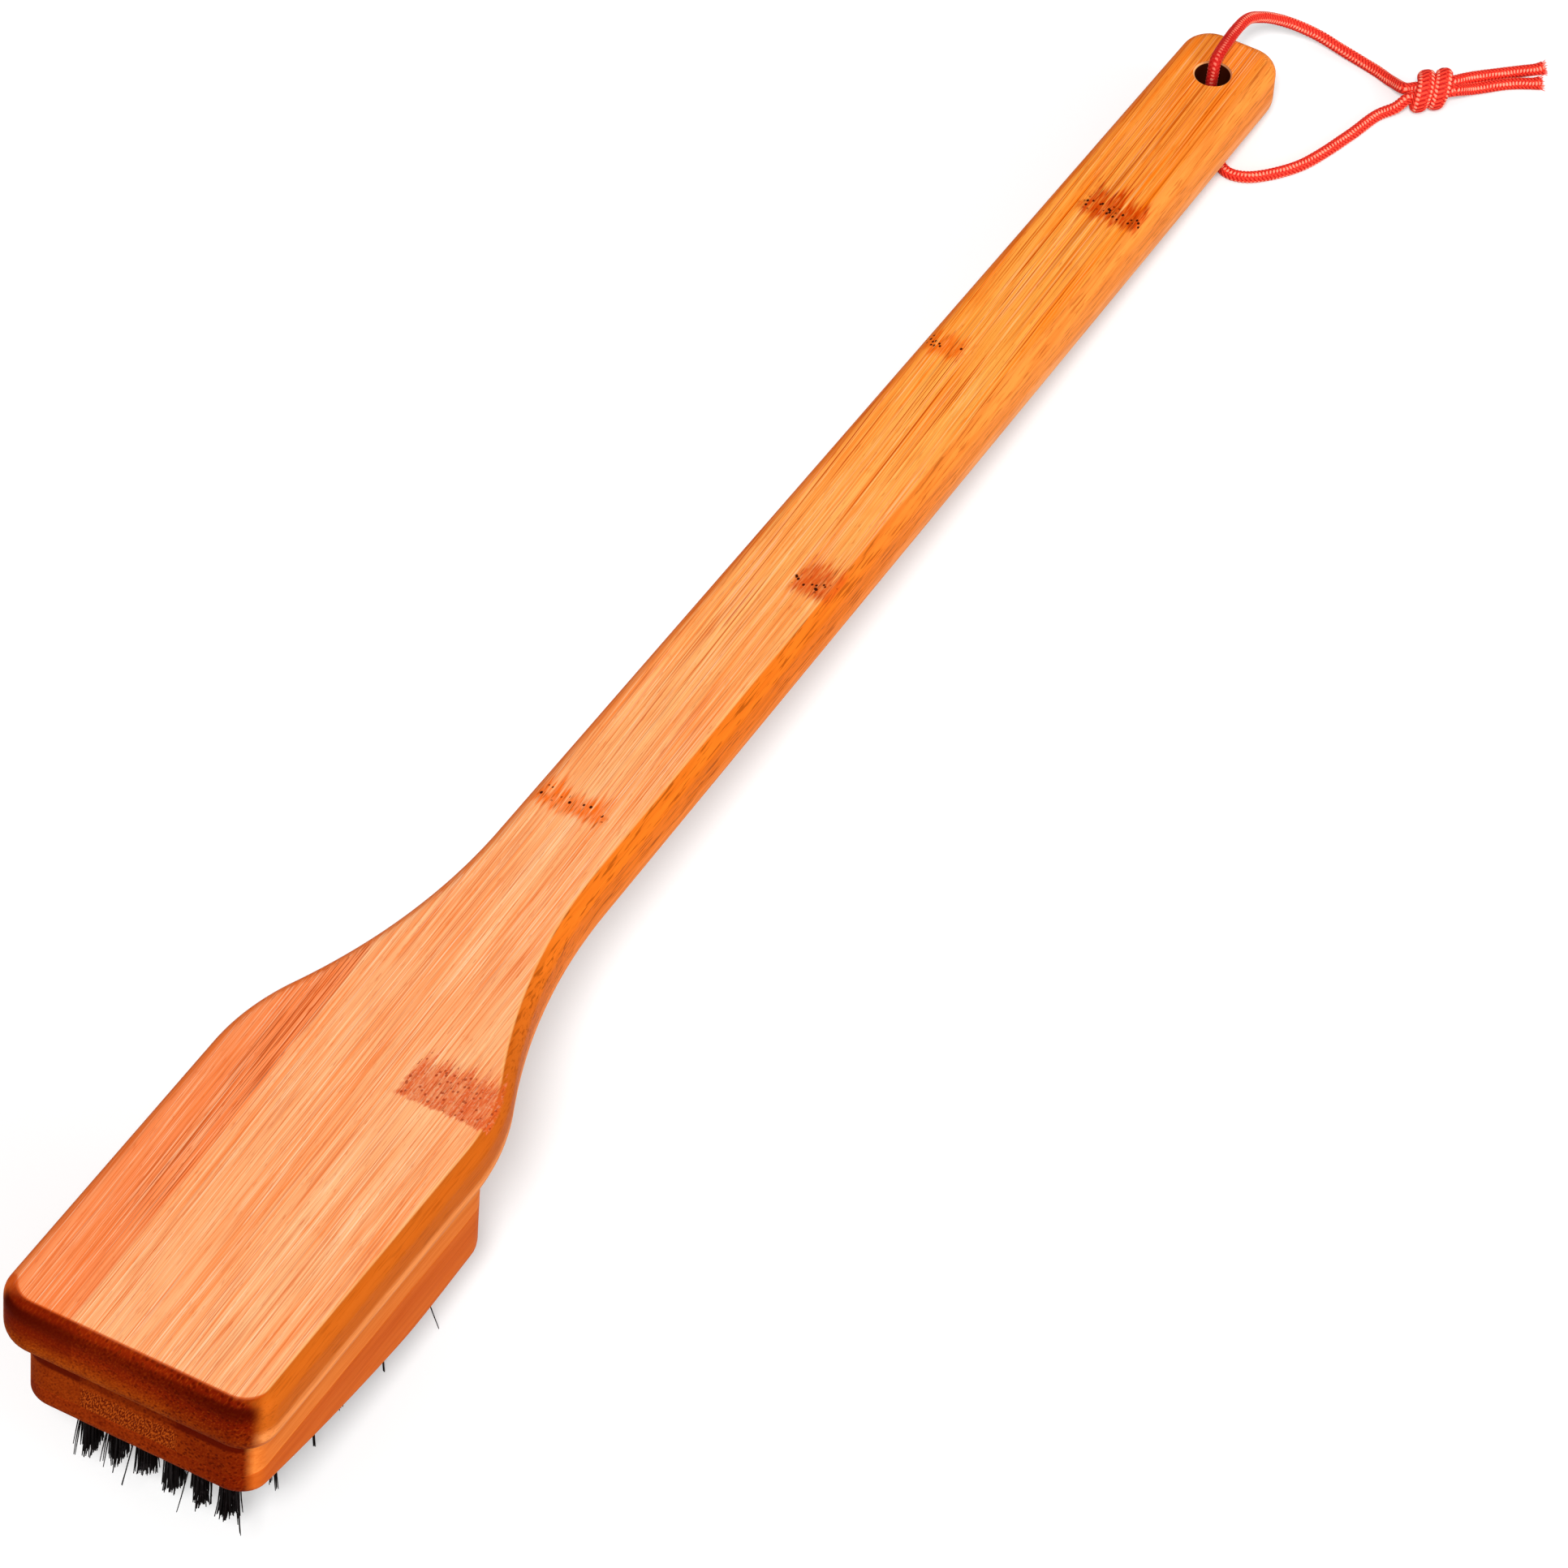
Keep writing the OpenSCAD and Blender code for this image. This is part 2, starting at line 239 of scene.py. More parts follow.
BRAID_STRANDS = 6
BRAID_CELL = 0.85 * MM
BRAID_DEPTH = 0.18 * MM
BRAID_LEVEL = 0.7
COVERED_STRAND = 0.5
# Painted glint dashes, pale highlights in dashed lines along the cord: how many lines run round it, the step
# of their dashes, and the share of the braid's depth by which they stand out
GLINT_DASH_LINES = 4
GLINT_DASH_STEP = 0.77 * MM
GLINT_DASH_RELIEF = 0.4


def braid_height(angle, along):
    """Height of the braid's surface, 0 between strands to 1 on a strand's crest."""
    turn = BRAID_STRANDS * angle / (2 * math.pi)
    right, left = turn + along / BRAID_CELL, turn - along / BRAID_CELL
    right_crest, left_crest = (np.sin(math.pi * (lay - np.floor(lay))) for lay in (right, left))
    over = (np.floor(right) + np.floor(left)) % 4 < 2
    return np.where(
        over,
        np.maximum(right_crest, COVERED_STRAND * left_crest),
        np.maximum(left_crest, COVERED_STRAND * right_crest),
    )


def glint_dashes(angle, along):
    """1 on the pale stitches that run along the cord in dashed lines, 0 elsewhere."""
    line = np.clip((np.cos(GLINT_DASH_LINES * angle + math.pi) - 0.2) / 0.7, 0, 1)
    dash = np.clip(0.5 + 1.6 * np.sin(2 * math.pi * along / GLINT_DASH_STEP + 2 * angle), 0, 1)
    return line * dash


def braided_tube(path, up, half_width, half_height, sides=32):
    """Vertices, faces and braid marks (0 to 1 height, 1 to 2 a pale stitch) of a closed braided tube.
    Up is the way its height faces, at its start or at each of its points."""
    count = len(path)
    along = along_path(path)
    ups = np.zeros((count, 3))
    level = up
    for i in range(count):
        level = up[i] if np.ndim(up) == 2 else level
        level = level - level.dot(along[i]) * along[i]
        level /= np.linalg.norm(level)
        ups[i] = level
    across = np.cross(along, ups)
    reach = reach_along(path)
    angles = np.arange(sides) * 2 * math.pi / sides
    height = braid_height(angles[None, :], reach[:, None])
    glint_dash = glint_dashes(angles[None, :], reach[:, None])
    relief = BRAID_DEPTH * (height + GLINT_DASH_RELIEF * glint_dash - BRAID_LEVEL)
    tall = (np.broadcast_to(half_height, count)[:, None] + relief) * np.cos(angles)[None, :]
    wide = (np.broadcast_to(half_width, count)[:, None] + relief) * np.sin(angles)[None, :]
    rings = path[:, None, :] + tall[:, :, None] * ups[:, None, :] + wide[:, :, None] * across[:, None, :]
    vertices = rings.reshape(-1, 3).tolist()
    marks = np.maximum(height, 2 * glint_dash).reshape(-1).tolist()
    faces = skin(count, sides, (0, 1, 2, 3))
    for ring, order in ((0, 1), (count - 1, -1)):
        centre = len(vertices)
        vertices.append(path[ring].tolist())
        marks.append(0.5)
        first = ring * sides
        for k in range(sides):
            pair = (first + k, first + (k + 1) % sides)
            faces.append((centre, *pair[::order]))
    return vertices, faces, marks


SHARP_EDGE = 40


def shade(mesh, sharp_angle):
    """Shades a mesh smoothly; edges sharper than that angle stay crisp, if one is given."""
    mesh.shade_smooth()
    if sharp_angle is not None:
        mesh.set_sharp_from_angle(angle=math.radians(sharp_angle))


def new_piece(name, vertices, faces, sharp_angle=None):
    mesh = bpy.data.meshes.new(name)
    mesh.from_pydata([tuple(v) for v in vertices], [], faces)
    mesh.validate()
    shade(mesh, sharp_angle)
    piece = bpy.data.objects.new(name, mesh)
    bpy.context.scene.collection.objects.link(piece)
    return piece


def cut(piece, cutter):
    """Takes the cutter's shape out of the piece."""
    modifier = piece.modifiers.new("cut", "BOOLEAN")
    modifier.operation = "DIFFERENCE"
    modifier.solver = "EXACT"
    modifier.object = cutter
    bpy.context.view_layer.update()
    shaped = piece.evaluated_get(bpy.context.evaluated_depsgraph_get())
    mesh = bpy.data.meshes.new_from_object(shaped)
    piece.modifiers.clear()
    piece.data = mesh
    bpy.data.objects.remove(cutter)
    shade(mesh, SHARP_EDGE)


def fit(piece, node, finish, posed=True):
    """Stands a piece in its place on the brush, with its finish."""
    if posed:
        piece.matrix_world = rest_pose()
    piece.data.materials.clear()
    piece.data.materials.append(finish)
    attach(piece, "root")
    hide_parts(node)
    return piece


def arc(centre, radius, start, stop, steps, side=1, first=0):
    """Outline points along an arc, each with its outward normal; side is -1 for a hollow arc."""
    points = []
    for k in range(first, steps + 1):
        a = math.radians(start + (stop - start) * k / steps)
        c, s = math.cos(a), math.sin(a)
        points.append((centre[0] + radius * c, centre[1] + radius * s, side * c, side * s))
    return points


def board_half(board):
    """The board's outline on its left side, from the head's front to the handle's end."""
    head, neck, end = board.head_width / 2, board.handle_width_neck / 2, board.handle_width_end / 2
    neck_end = board.head_length + board.neck_length
    turn = 2 * math.atan((head - neck) / board.neck_length)
    radii = board.neck_length / math.sin(turn)
    shoulder = board.shoulder_share * radii
    hollow = radii - shoulder
    turn = math.degrees(turn)
    corner, last = board.head_corner, board.handle_corner
    return (
        arc((corner, head - corner), corner, 180, 90, 14)
        + arc((board.head_length, head - shoulder), shoulder, 90, 90 - turn, 24)
        + arc((neck_end, neck + hollow), hollow, 270 - turn, 270, 44, -1, 1)
        + arc((board.length - last, end - last), last, 90, 0, 14)
    )


def block_half(board, block):
    """The block's outline on its left side."""
    half = board.head_width / 2 - block.inset
    first = block.inset + block.corner
    last = block.inset + block.length - block.corner
    steps = 30
    straight = [(first + (last - first) * k / steps, half, 0, 1) for k in range(1, steps)]
    return (
        arc((first, half - block.corner), block.corner, 180, 90, 12)
        + straight
        + arc((last, half - block.corner), block.corner, 90, 0, 12)
    )


def block_depth(block, x):
    """Depth of the curved underside below the board, at a distance from the head's front."""
    rise = block.depth_rear - block.depth_front
    return block.depth_rear - rise * ((block.inset + block.length - x) / block.length) ** 2


FLAT_RIM = 0.4 * MM


def lower_round(radius, steps, follow=0):
    """Sections of a rounded lower edge: drawn-in distance, height, follows the underside or not."""
    sections = [(radius + FLAT_RIM, 0.0, follow)]
    for k in range(steps + 1):
        a = math.radians(90 - 90 * k / steps)
        sections.append((radius * (1 - math.cos(a)), radius * (1 - math.sin(a)), follow))
    return sections


def upper_round(radius, top, steps):
    """Sections of a rounded upper edge."""
    return [(inset, top - level, 0) for inset, level, _ in reversed(lower_round(radius, steps))]


def loft(name, half, sections, under=lambda x: 0.0, swell=lambda x: 1.0):
    """A closed mesh through sections of a mirrored outline; swell makes a round larger along it."""
    count = len(half)
    ring = 2 * count
    vertices = []
    for inset, level, follow in sections:
        for i in range(ring):
            side = 1 if i < count else -1
            x, y, nx, ny = half[i if i < count else ring - 1 - i]
            size = swell(x) if follow else 1.0
            x, y = x - size * inset * nx, side * (y - size * inset * ny)
            vertices.append((x, y, size * level + follow * under(x)))
    faces = skin(len(sections), ring, (3, 0, 1, 2))
    top = (len(sections) - 1) * ring
    for i in range(count - 1):
        faces.append((i, i + 1, ring - 2 - i, ring - 1 - i))
        faces.append((top + ring - 1 - i, top + ring - 2 - i, top + i + 1, top + i))
    return new_piece(name, vertices, faces, SHARP_EDGE)


def lathe(profile, centre, sides):
    """A closed turned solid, used as a cutter; profile is radius and height from below."""
    x, y, z = centre
    vertices = []
    for radius, level in profile:
        for k in range(sides):
            a = 2 * math.pi * k / sides
            vertices.append((x + radius * math.cos(a), y + radius * math.sin(a), z + level))
    return vertices, closed_skin(len(profile), sides)


def brush_settings():
    """The settings of the board, of the block and of the bristles."""
    scene = bpy.context.scene
    return scene.grill_board, scene.grill_block, scene.grill_bristles


def row_x(row):
    """Distance of a row of tufts from the head's front."""
    _, block, bristles = brush_settings()
    pitch = (block.length - bristles.margin_front - bristles.margin_rear) / (bristles.rows - 1)
    return block.inset + bristles.margin_front + (row - 1) * pitch


def column_pitch():
    """Distance between the tufts of a row."""
    board, block, bristles = brush_settings()
    half = board.head_width / 2 - block.inset
    return 2 * (half - bristles.margin_side) / (bristles.columns - 1)


def tuft_places(row):
    """Where the tufts of one row stand across the block: every second row has one tuft less."""
    count = brush_settings()[2].columns - (1 if row % 2 == 0 else 0)
    return [(k - (count - 1) / 2) * column_pitch() for k in range(count)]


def tip_diameter():
    """Width of a tuft at its spread tip."""
    across, along = column_pitch(), row_x(2) - row_x(1)
    return min(across, math.hypot(along, across / 2)) - brush_settings()[2].tip_gap


def rest_pose():
    """Stands the brush on its last row of tufts, with the handle's end just over the floor."""
    board, block, bristles = brush_settings()
    low, high, lift = board.bottom_round, board.top_round, board.end_lift
    last = row_x(bristles.rows)
    reach = board.length - low - last - tip_diameter() / 2
    drop = block_depth(block, last) + bristles.length + low
    pitch = math.atan2(drop, reach) - math.asin((low + lift) / math.hypot(reach, drop))
    c, s = math.cos(pitch), math.sin(pitch)
    z = low + lift + (board.length - low) * s - low * c
    front = low * (c + s - 1)
    end = (board.length - high) * c + (board.thickness - high) * s + high
    return Matrix.Translation((-(front + end) / 2, 0, z)) @ Matrix.Rotation(pitch, 4, "Y")


PLACE_TOLERANCE = 0.8 * MM


def check_place(piece, node):
    """Raises an error where a piece has left the place of its CAD node."""
    bpy.context.view_layer.update()
    corners = np.array([piece.matrix_world @ vertex.co for vertex in piece.data.vertices])
    low, high = (np.array(corner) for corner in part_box(node))
    away = max(np.abs(corners.min(axis=0) - low).max(), np.abs(corners.max(axis=0) - high).max())
    if away > PLACE_TOLERANCE:
        raise RuntimeError(f"{piece.name} is {away / MM:.2f} mm away from {node}")


class Socket:
    """A socket that takes part in Python expressions."""

    def __init__(self, finish, socket):
        self.finish = finish
        self.socket = socket

    def __add__(self, other):
        return self.finish.math("ADD", self, other)

    def __sub__(self, other):
        return self.finish.math("SUBTRACT", self, other)

    def __rsub__(self, other):
        return self.finish.math("SUBTRACT", other, self)

    def __mul__(self, other):
        return self.finish.math("MULTIPLY", self, other)

    def __abs__(self):
        return self.finish.math("ABSOLUTE", self)

    __radd__ = __add__
    __rmul__ = __mul__


class Finish:
    """A material round one Principled shader; its maths is written as expressions."""

    def __init__(self, name, **constants):
        self.material = bpy.data.materials.new(name)
        self.material.use_nodes = True
        self.tree = self.material.node_tree
        self.shader = self.tree.nodes["Principled BSDF"]
        for socket, value in constants.items():
            self.shader.inputs[socket.replace("_", " ")].default_value = value

    def add(self, kind, settings=None, values=None, out=0):
        """A node of that type: its settings are set first, then its sockets' values or links."""
        node = self.tree.nodes.new(kind)
        for setting, value in (settings or {}).items():
            setattr(node, setting, value)
        for key, value in (values or {}).items():
            self.join(node.inputs[key], value)
        return Socket(self, node.outputs[out])

    def join(self, socket, value):
        if isinstance(value, Socket):
            self.tree.links.new(value.socket, socket)
        elif socket.type == "RGBA" and len(value) == 3:
            socket.default_value = (*value, 1.0)
        else:
            socket.default_value = value

    def feed(self, colour, roughness):
        """Colour and roughness of the shader."""
        self.join(self.shader.inputs["Base Color"], colour)
        self.join(self.shader.inputs["Roughness"], roughness)

    def bump(self, height, strength, distance):
        values = {"Strength": strength, "Distance": distance, "Height": height}
        self.join(self.shader.inputs["Normal"], self.add("ShaderNodeBump", None, values))

    def math(self, operation, *values):
        return self.add("ShaderNodeMath", {"operation": operation}, dict(enumerate(values)))

    def vector(self, operation, *values):
        return self.add("ShaderNodeVectorMath", {"operation": operation}, dict(enumerate(values)))

    def mix(self, factor, first, second):
        """Colour between two."""
        return self.add("ShaderNodeMix", {"data_type": "RGBA"}, {0: factor, 6: first, 7: second}, 2)

    def coats(self, base, *coats):
        """A colour under coats of others, each with the mask through which it is laid on."""
        for mask, tone in coats:
            base = self.mix(mask, base, tone)
        return base

    def ramp(self, value, low, high):
        """0 below low, 1 above high, smooth between."""
        return self.add(
            "ShaderNodeMapRange", {"interpolation_type": "SMOOTHSTEP"}, {0: value, 1: low, 2: high}
        )

    def place(self):
        """Place on the piece in millimetres."""
        here = self.add("ShaderNodeTexCoord", None, None, 3)
        return self.vector("MULTIPLY", here, (1 / MM,) * 3)

    def axes(self, vector):
        """The three parts of a vector."""
        split = self.add("ShaderNodeSeparateXYZ", None, {0: vector})
        return [Socket(self, socket) for socket in split.socket.node.outputs]

    def point(self, *axes):
        """The vector of three parts."""
        return self.add("ShaderNodeCombineXYZ", None, dict(enumerate(axes)))

    def noise(self, vector, scale=1.0, detail=2.0):
        return self.add("ShaderNodeTexNoise", None, {"Vector": vector, "Scale": scale, "Detail": detail})

    def grain(self, place, long, wide, detail=2.0, seed=0.0):
        """Noise drawn out along the piece; long and wide are its feature sizes in millimetres."""
        drawn = self.vector("MULTIPLY_ADD", place, (1 / long, 1 / wide, 1 / wide), (seed, seed, seed))
        return self.noise(drawn, 1.0, detail)


# Fibres on the board's face, near and far along it
FACE_LINE = paint(214, 92, 36)
FAR_LIGHT, FAR_DARK, FAR_LINE = paint(255, 182, 84), paint(255, 124, 14), paint(200, 76, 0)
PALE_FIBRE, PORE = paint(255, 220, 178), paint(60, 18, 4)
TIP_TONE, TIP_STREAK = paint(236, 106, 10), paint(190, 76, 0)
RED_STRIP, RED_STREAK = paint(246, 106, 38), paint(176, 66, 16)

# The board's sides at the head, at the neck and towards the handle's end, with their fibres
UPPER_SIDE = (paint(202, 98, 24), paint(240, 120, 30), paint(255, 150, 64))
LOWER_SIDE = (paint(250, 152, 80), paint(252, 138, 56), paint(255, 166, 100))
# CREASE_SHADE is painted shade where the board's lower edge meets the block
CREASE_SHADE, SIDE_CLOUD, SIDE_FLECK = paint(186, 80, 26), paint(200, 92, 16), paint(146, 60, 6)
SIDE_LINE = paint(170, 70, 6)

# The board's edges, with a painted highlight along the right one, painted shade along the front's top and a
# painted highlight on the hole's bevel
RIGHT_RIM_HIGHLIGHT, LEFT_RIM, FRONT_RIM = paint(255, 190, 112), paint(240, 106, 20), paint(206, 76, 8)
SHADED_EDGE, HOLE_BEVEL_HIGHLIGHT = paint(64, 6, 0), paint(255, 200, 140)

# End grain
END_UPPER, END_LOWER, END_DEEP = paint(140, 36, 3), paint(182, 80, 12), paint(104, 16, 0)
# PLY_SHADE is a painted shadow that the board's overhang casts on the upper ply
END_PORE, PLY_SHADE = paint(78, 8, 0), paint(84, 10, 0)
RELIEF_PALE, RELIEF_DARK = paint(190, 84, 21), paint(96, 20, 2)

# Layers of fibres: length and width in millimetres, seed, and the noise where their mask begins and
# is full
FINE_LINES = (28, 0.30, 5.0, 0.55, 0.64)
LONG_LINES = (90, 0.50, 6.0, 0.62, 0.66, 1.0)
DASHES = (5, 0.30, 7.0, 0.63, 0.69)
PALE_LINES = (34, 0.26, 8.0, 0.58, 0.65)
SIDE_FLECKS = (8, 0.42, 9.0, 0.55, 0.64)
SIDE_CLOUDS = (26, 1.0, 10.0, 0.42, 0.66)
SIDE_LINES = (40, 0.3, 11.0, 0.58, 0.68)
STRIP_LINES = (34, 0.32, 12.0, 0.54, 0.62)
TIP_LINES = (110, 0.55, 13.0, 0.56, 0.62)
PLY_LINES = (50, 0.36, 5.0, 0.56, 0.70)
PLY_DASHES = (6, 0.3, 7.0, 0.62, 0.74)

# Share of its width by which the fibre drifts across the board along its length
GRAIN_TILT = 0.03
# The redder strip of the head: where it starts across the board in millimetres, and how far it drifts
# across for each millimetre along
STRIP_START, STRIP_DRIFT = 13.2, 0.028

# Growth rings on the board's face: left, right, lowest and highest edge in millimetres, depth of
# tone, spacing and size of the pores, whether its left edge is crisp, and the two colours
GROWTH_RINGS = (
    (87.0, 99.0, -29.6, -7.6, 0.95, 1.15, 0.28, True, paint(222, 92, 42), paint(146, 48, 20)),
    (171.5, 177.5, -4.0, 11.6, 0.95, 1.4, 0.28, False, paint(246, 104, 10), PORE),
    (253.0, 263.0, -12.5, -2.0, 0.95, 1.00, 0.38, False, paint(218, 84, 22), PORE),
    (332.5, 339.0, 2.2, 11.4, 0.85, 1.05, 0.34, False, paint(240, 96, 0), PORE),
    (389.5, 398.5, -13.5, 3.4, 1.0, 0.98, 0.38, False, paint(208, 64, 0), PORE),
)
# Where the row of pores lies in a ragged ring, from its left edge in millimetres
PORE_ROW = 3.4


class Bamboo(Finish):
    """Sanded, oiled bamboo: fibres along the piece, deeper sides and dark end grain."""

    def __init__(self, name, seed):
        super().__init__(name, Specular_IOR_Level=0.01)
        self.seed = seed
        self.spot = self.place()
        self.x, self.y, self.z = self.axes(self.spot)
        self.nx, self.ny, self.nz = self.axes(self.add("ShaderNodeTexCoord", None, None, 1))
        sway = self.grain(self.spot, 85, 30, 0, seed) - 0.5
        self.fibre = self.point(self.x, self.y - self.x * GRAIN_TILT + sway * 1.2, self.z)
        forward, right = self.nx * -1, self.ny * -1
        front = self.ramp(forward - abs(self.ny) * 0.8, -0.25, 0.30) * self.ramp(forward, 0.05, 0.18)
        self.end = self.math("MAXIMUM", front, self.ramp(self.nx, 0.60, 0.95) * 0.5)
        self.side = self.math("MAXIMUM", self.ramp(right, 0.05, 0.18), self.ramp(self.ny, 0.45, 0.9))
        self.forward, self.right = forward, right

    def streaks(self, long, wide, seed, low, high, detail=2.0):
        """Fibres of that length and width in millimetres, as a mask."""
        return self.ramp(self.grain(self.fibre, long, wide, detail, self.seed + seed), low, high)

    def tone(self, fine, middle, broad):
        """Light and dark of the fibres about 0.5, at three widths."""
        return (
            (self.grain(self.fibre, 38, 0.34, 2, self.seed + 1.0) - 0.5) * fine
            + (self.grain(self.fibre, 60, 1.3, 1, self.seed + 2.0) - 0.5) * middle
            + (self.grain(self.fibre, 190, 8.0, 1, self.seed + 3.0) - 0.5) * broad
            + 0.5
        )

    def pores(self, spacing, size, seed):
        """Scattered dots a spacing apart in millimetres."""
        spots = self.vector("MULTIPLY_ADD", self.spot, (0.7 / spacing, 1 / spacing, 1 / spacing), (seed,) * 3)
        near = self.add("ShaderNodeTexVoronoi", {"feature": "F1"}, {"Vector": spots, "Scale": 1.0})
        return 1 - self.ramp(near, size * 0.6, size)

    def growth_ring(self, base, left, right, low, high, depth, spacing, size, crisp, brown, pore):
        """A growth ring, drawn out along the fibres at its right and, unless it is crisp, its left."""
        x, y = self.x, self.y
        ragged = 0.4 if crisp else 1.4
        soft = 0.3 + ragged * 0.5
        comb = self.grain(self.fibre, 60, 0.5, 2, left) - 0.5
        start = self.ramp(x - left + comb * (2 + ragged * 4), -ragged, ragged)
        stop = 1 - self.ramp(x - right + comb * 22, -1.6, 1.6)
        wave = (self.grain(self.spot, 2.5, 2.5, 2, left + 1) - 0.5) * 4
        within = self.ramp(y - low + wave, -soft, soft) * (1 - self.ramp(y - high + wave, -soft, soft))
        mark = start * stop * within * self.ramp(self.nz, 0.75, 0.95) * depth
        base = self.coats(
            base,
            (mark * (0.60 + self.streaks(4.0, 0.4, left, 0.40, 0.62) * 0.40), brown),
            (mark * self.streaks(5.0, 0.3, left + 2, 0.55, 0.66) * 0.5, pore),
        )
        if crisp:
            specks = self.ramp(self.grain(self.spot, 0.9, 0.5, 2, left + 3), 0.54, 0.62)
            base = self.mix(mark * specks * 0.16, base, PALE_FIBRE)
        row = 0.7 if crisp else 1 - self.ramp(abs(x - left - PORE_ROW), 1.5, 2.3)
        return self.mix(self.pores(spacing, size, left) * self.ramp(mark, 0.3, 0.5) * row, base, pore)

    def end_grain(self, base, upper, lower, level, half_level, patch=None):
        """Cut ends of the fibre bundles laid on the base, and their relief. Level is the height about
        which upper turns to lower; patch holds a torn place's lowest and highest y, then z."""
        y, z = self.y, self.z
        grit = self.noise(self.point(y * 2.2 + z * 0.8, z * 1.5, 0.0))
        # Upper turns to lower about the level: on the board the top is darker, partly painted shade and
        # partly the oil's darkening
        tone = self.coats(
            self.mix(self.ramp(z, level - half_level, level + half_level), lower, upper),
            ((1 - self.ramp(y, -26, 4)) * 0.68, END_DEEP),
            (self.ramp(self.grain(self.spot, 5, 5, 2, self.seed + 22), 0.42, 0.68) * 0.35, END_DEEP),
            (self.ramp(grit, 0.42, 0.62) * 0.40, END_DEEP),
            ((1 - self.ramp(grit, 0.34, 0.48)) * 0.25, lower),
            (self.pores(0.95, 0.42, self.seed + 30) * (0.35 + self.ramp(y, 20, -20) * 0.35), END_PORE),
        )
        height = grit
        if patch:
            low, high, bottom, top = patch
            ragged = (grit - 0.5) * 2.4
            across, upward = y + ragged, z + ragged
            inside = self.ramp(across, low, low + 0.8) * (1 - self.ramp(across, high - 0.8, high))
            # Painted shadow of the board's overhang along the ply's top, lighter across the torn place
            tone = self.mix(self.ramp(z, -3.9, -2.9) * (0.9 - inside * 0.4), tone, PLY_SHADE)
            inside = inside * self.ramp(upward, bottom, bottom + 1.0)
            inside = inside * (1 - self.ramp(upward, top - 1.2, top))
            ridge = self.ramp(self.noise(self.point(y * 3.7 + z * 1.0, z * 1.2, 3.0)), 0.44, 0.60)
            tone = self.mix(inside * 0.85, tone, self.mix(ridge, RELIEF_DARK, RELIEF_PALE))
            height = grit + inside * ridge
        return self.mix(self.end, base, tone), height


def board_face(f, light, dark, line, far):
    """The face's fibres with the redder strip of the head; also its fine lines, dashes and long lines."""
    x, y = f.x, f.y
    across = y - x * STRIP_DRIFT - STRIP_START
    strip = f.ramp(across, -0.4, 0.4) * (1 - f.ramp(x, 105, 140))
    streaked = strip * (1 - f.ramp(across, 5, 9)) * f.ramp(x, 12, 50)
    fine, dashes = f.streaks(*FINE_LINES), f.streaks(*DASHES)
    long_lines = f.streaks(*LONG_LINES) * f.ramp(f.grain(f.fibre, 30, 1.5, 1, 42.0), 0.35, 0.5)
    base = f.coats(
        f.mix(f.tone(2.2, 0.32, 0.8), dark, light),
        (f.ramp(x, 385, 435) * 0.40, TIP_TONE),
        (strip * (0.30 + f.grain(f.fibre, 60, 1.2, 2, 41.0) * 0.55), RED_STRIP),
        (f.ramp(f.grain(f.spot, 9, 5, 2, 40.0), 0.50, 0.72) * 0.16, dark),
        (f.streaks(*PALE_LINES) * (0.55 - far * 0.30) * (1 - strip * 0.2), PALE_FIBRE),
        (fine * (0.40 + streaked * 0.45), line),
        (long_lines * (0.45 + far * 0.55), line),
        (dashes * (0.45 + streaked * 0.3), line),
        (streaked * f.streaks(*STRIP_LINES) * 0.75, RED_STREAK),
        (f.streaks(*TIP_LINES) * f.ramp(x, 290, 400) * 0.60, TIP_STREAK),
    )
    return base, fine, dashes, long_lines


def board_sides(f):
    """The board's sides: darker above, with flecks at the head and a crease along its lower edge."""
    x, z = f.x, f.z

    def along(head, neck, end):
        return f.mix(f.ramp(x, 240, 340), f.mix(f.ramp(x, 95, 150), head, neck), end)

    flecked = 0.30 + f.ramp(x, 90, 130) * 0.35 - f.ramp(x, 230, 330) * 0.22
    return f.coats(
        f.mix(f.ramp(z, 6.0, 8.6), along(*LOWER_SIDE), along(*UPPER_SIDE)),
        # Painted shade in the crease where the board's lower edge meets the block
        ((1 - f.ramp(z, 3.9, 5.0)) * (1 - f.ramp(x, 90, 120)) * 0.6, CREASE_SHADE),
        (f.streaks(*SIDE_CLOUDS) * 0.35, SIDE_CLOUD),
        (f.streaks(*SIDE_FLECKS) * f.ramp(z, 5.5, 8.0) * flecked, SIDE_FLECK),
        (f.streaks(*SIDE_LINES) * 0.35, SIDE_LINE),
    )


def hole_edge(f, base, board):
    """The light bevel and dark wall of the cord's hole."""
    x, y = f.x, f.y
    hole_x, radius = (board.length - board.hole_inset) / MM, board.hole_diameter / 2 / MM
    away = f.math("SQRT", (x - hole_x) * (x - hole_x) + y * y)
    left_side, right_side = f.ramp(y - x + hole_x, -1.0, 3.0), f.ramp(x - y - hole_x, -1.0, 3.0)
    lit = 0.25 + (left_side * 0.3 + right_side * 0.1)
    return f.coats(
        base,
        # Painted highlight on the bevel
        ((1 - f.ramp(away, radius + 0.30, radius + 0.45)) * lit, HOLE_BEVEL_HIGHLIGHT),
        # Painted shade on the hole's wall
        (1 - f.ramp(away, radius + 0.02, radius + 0.14), PORE),
    )


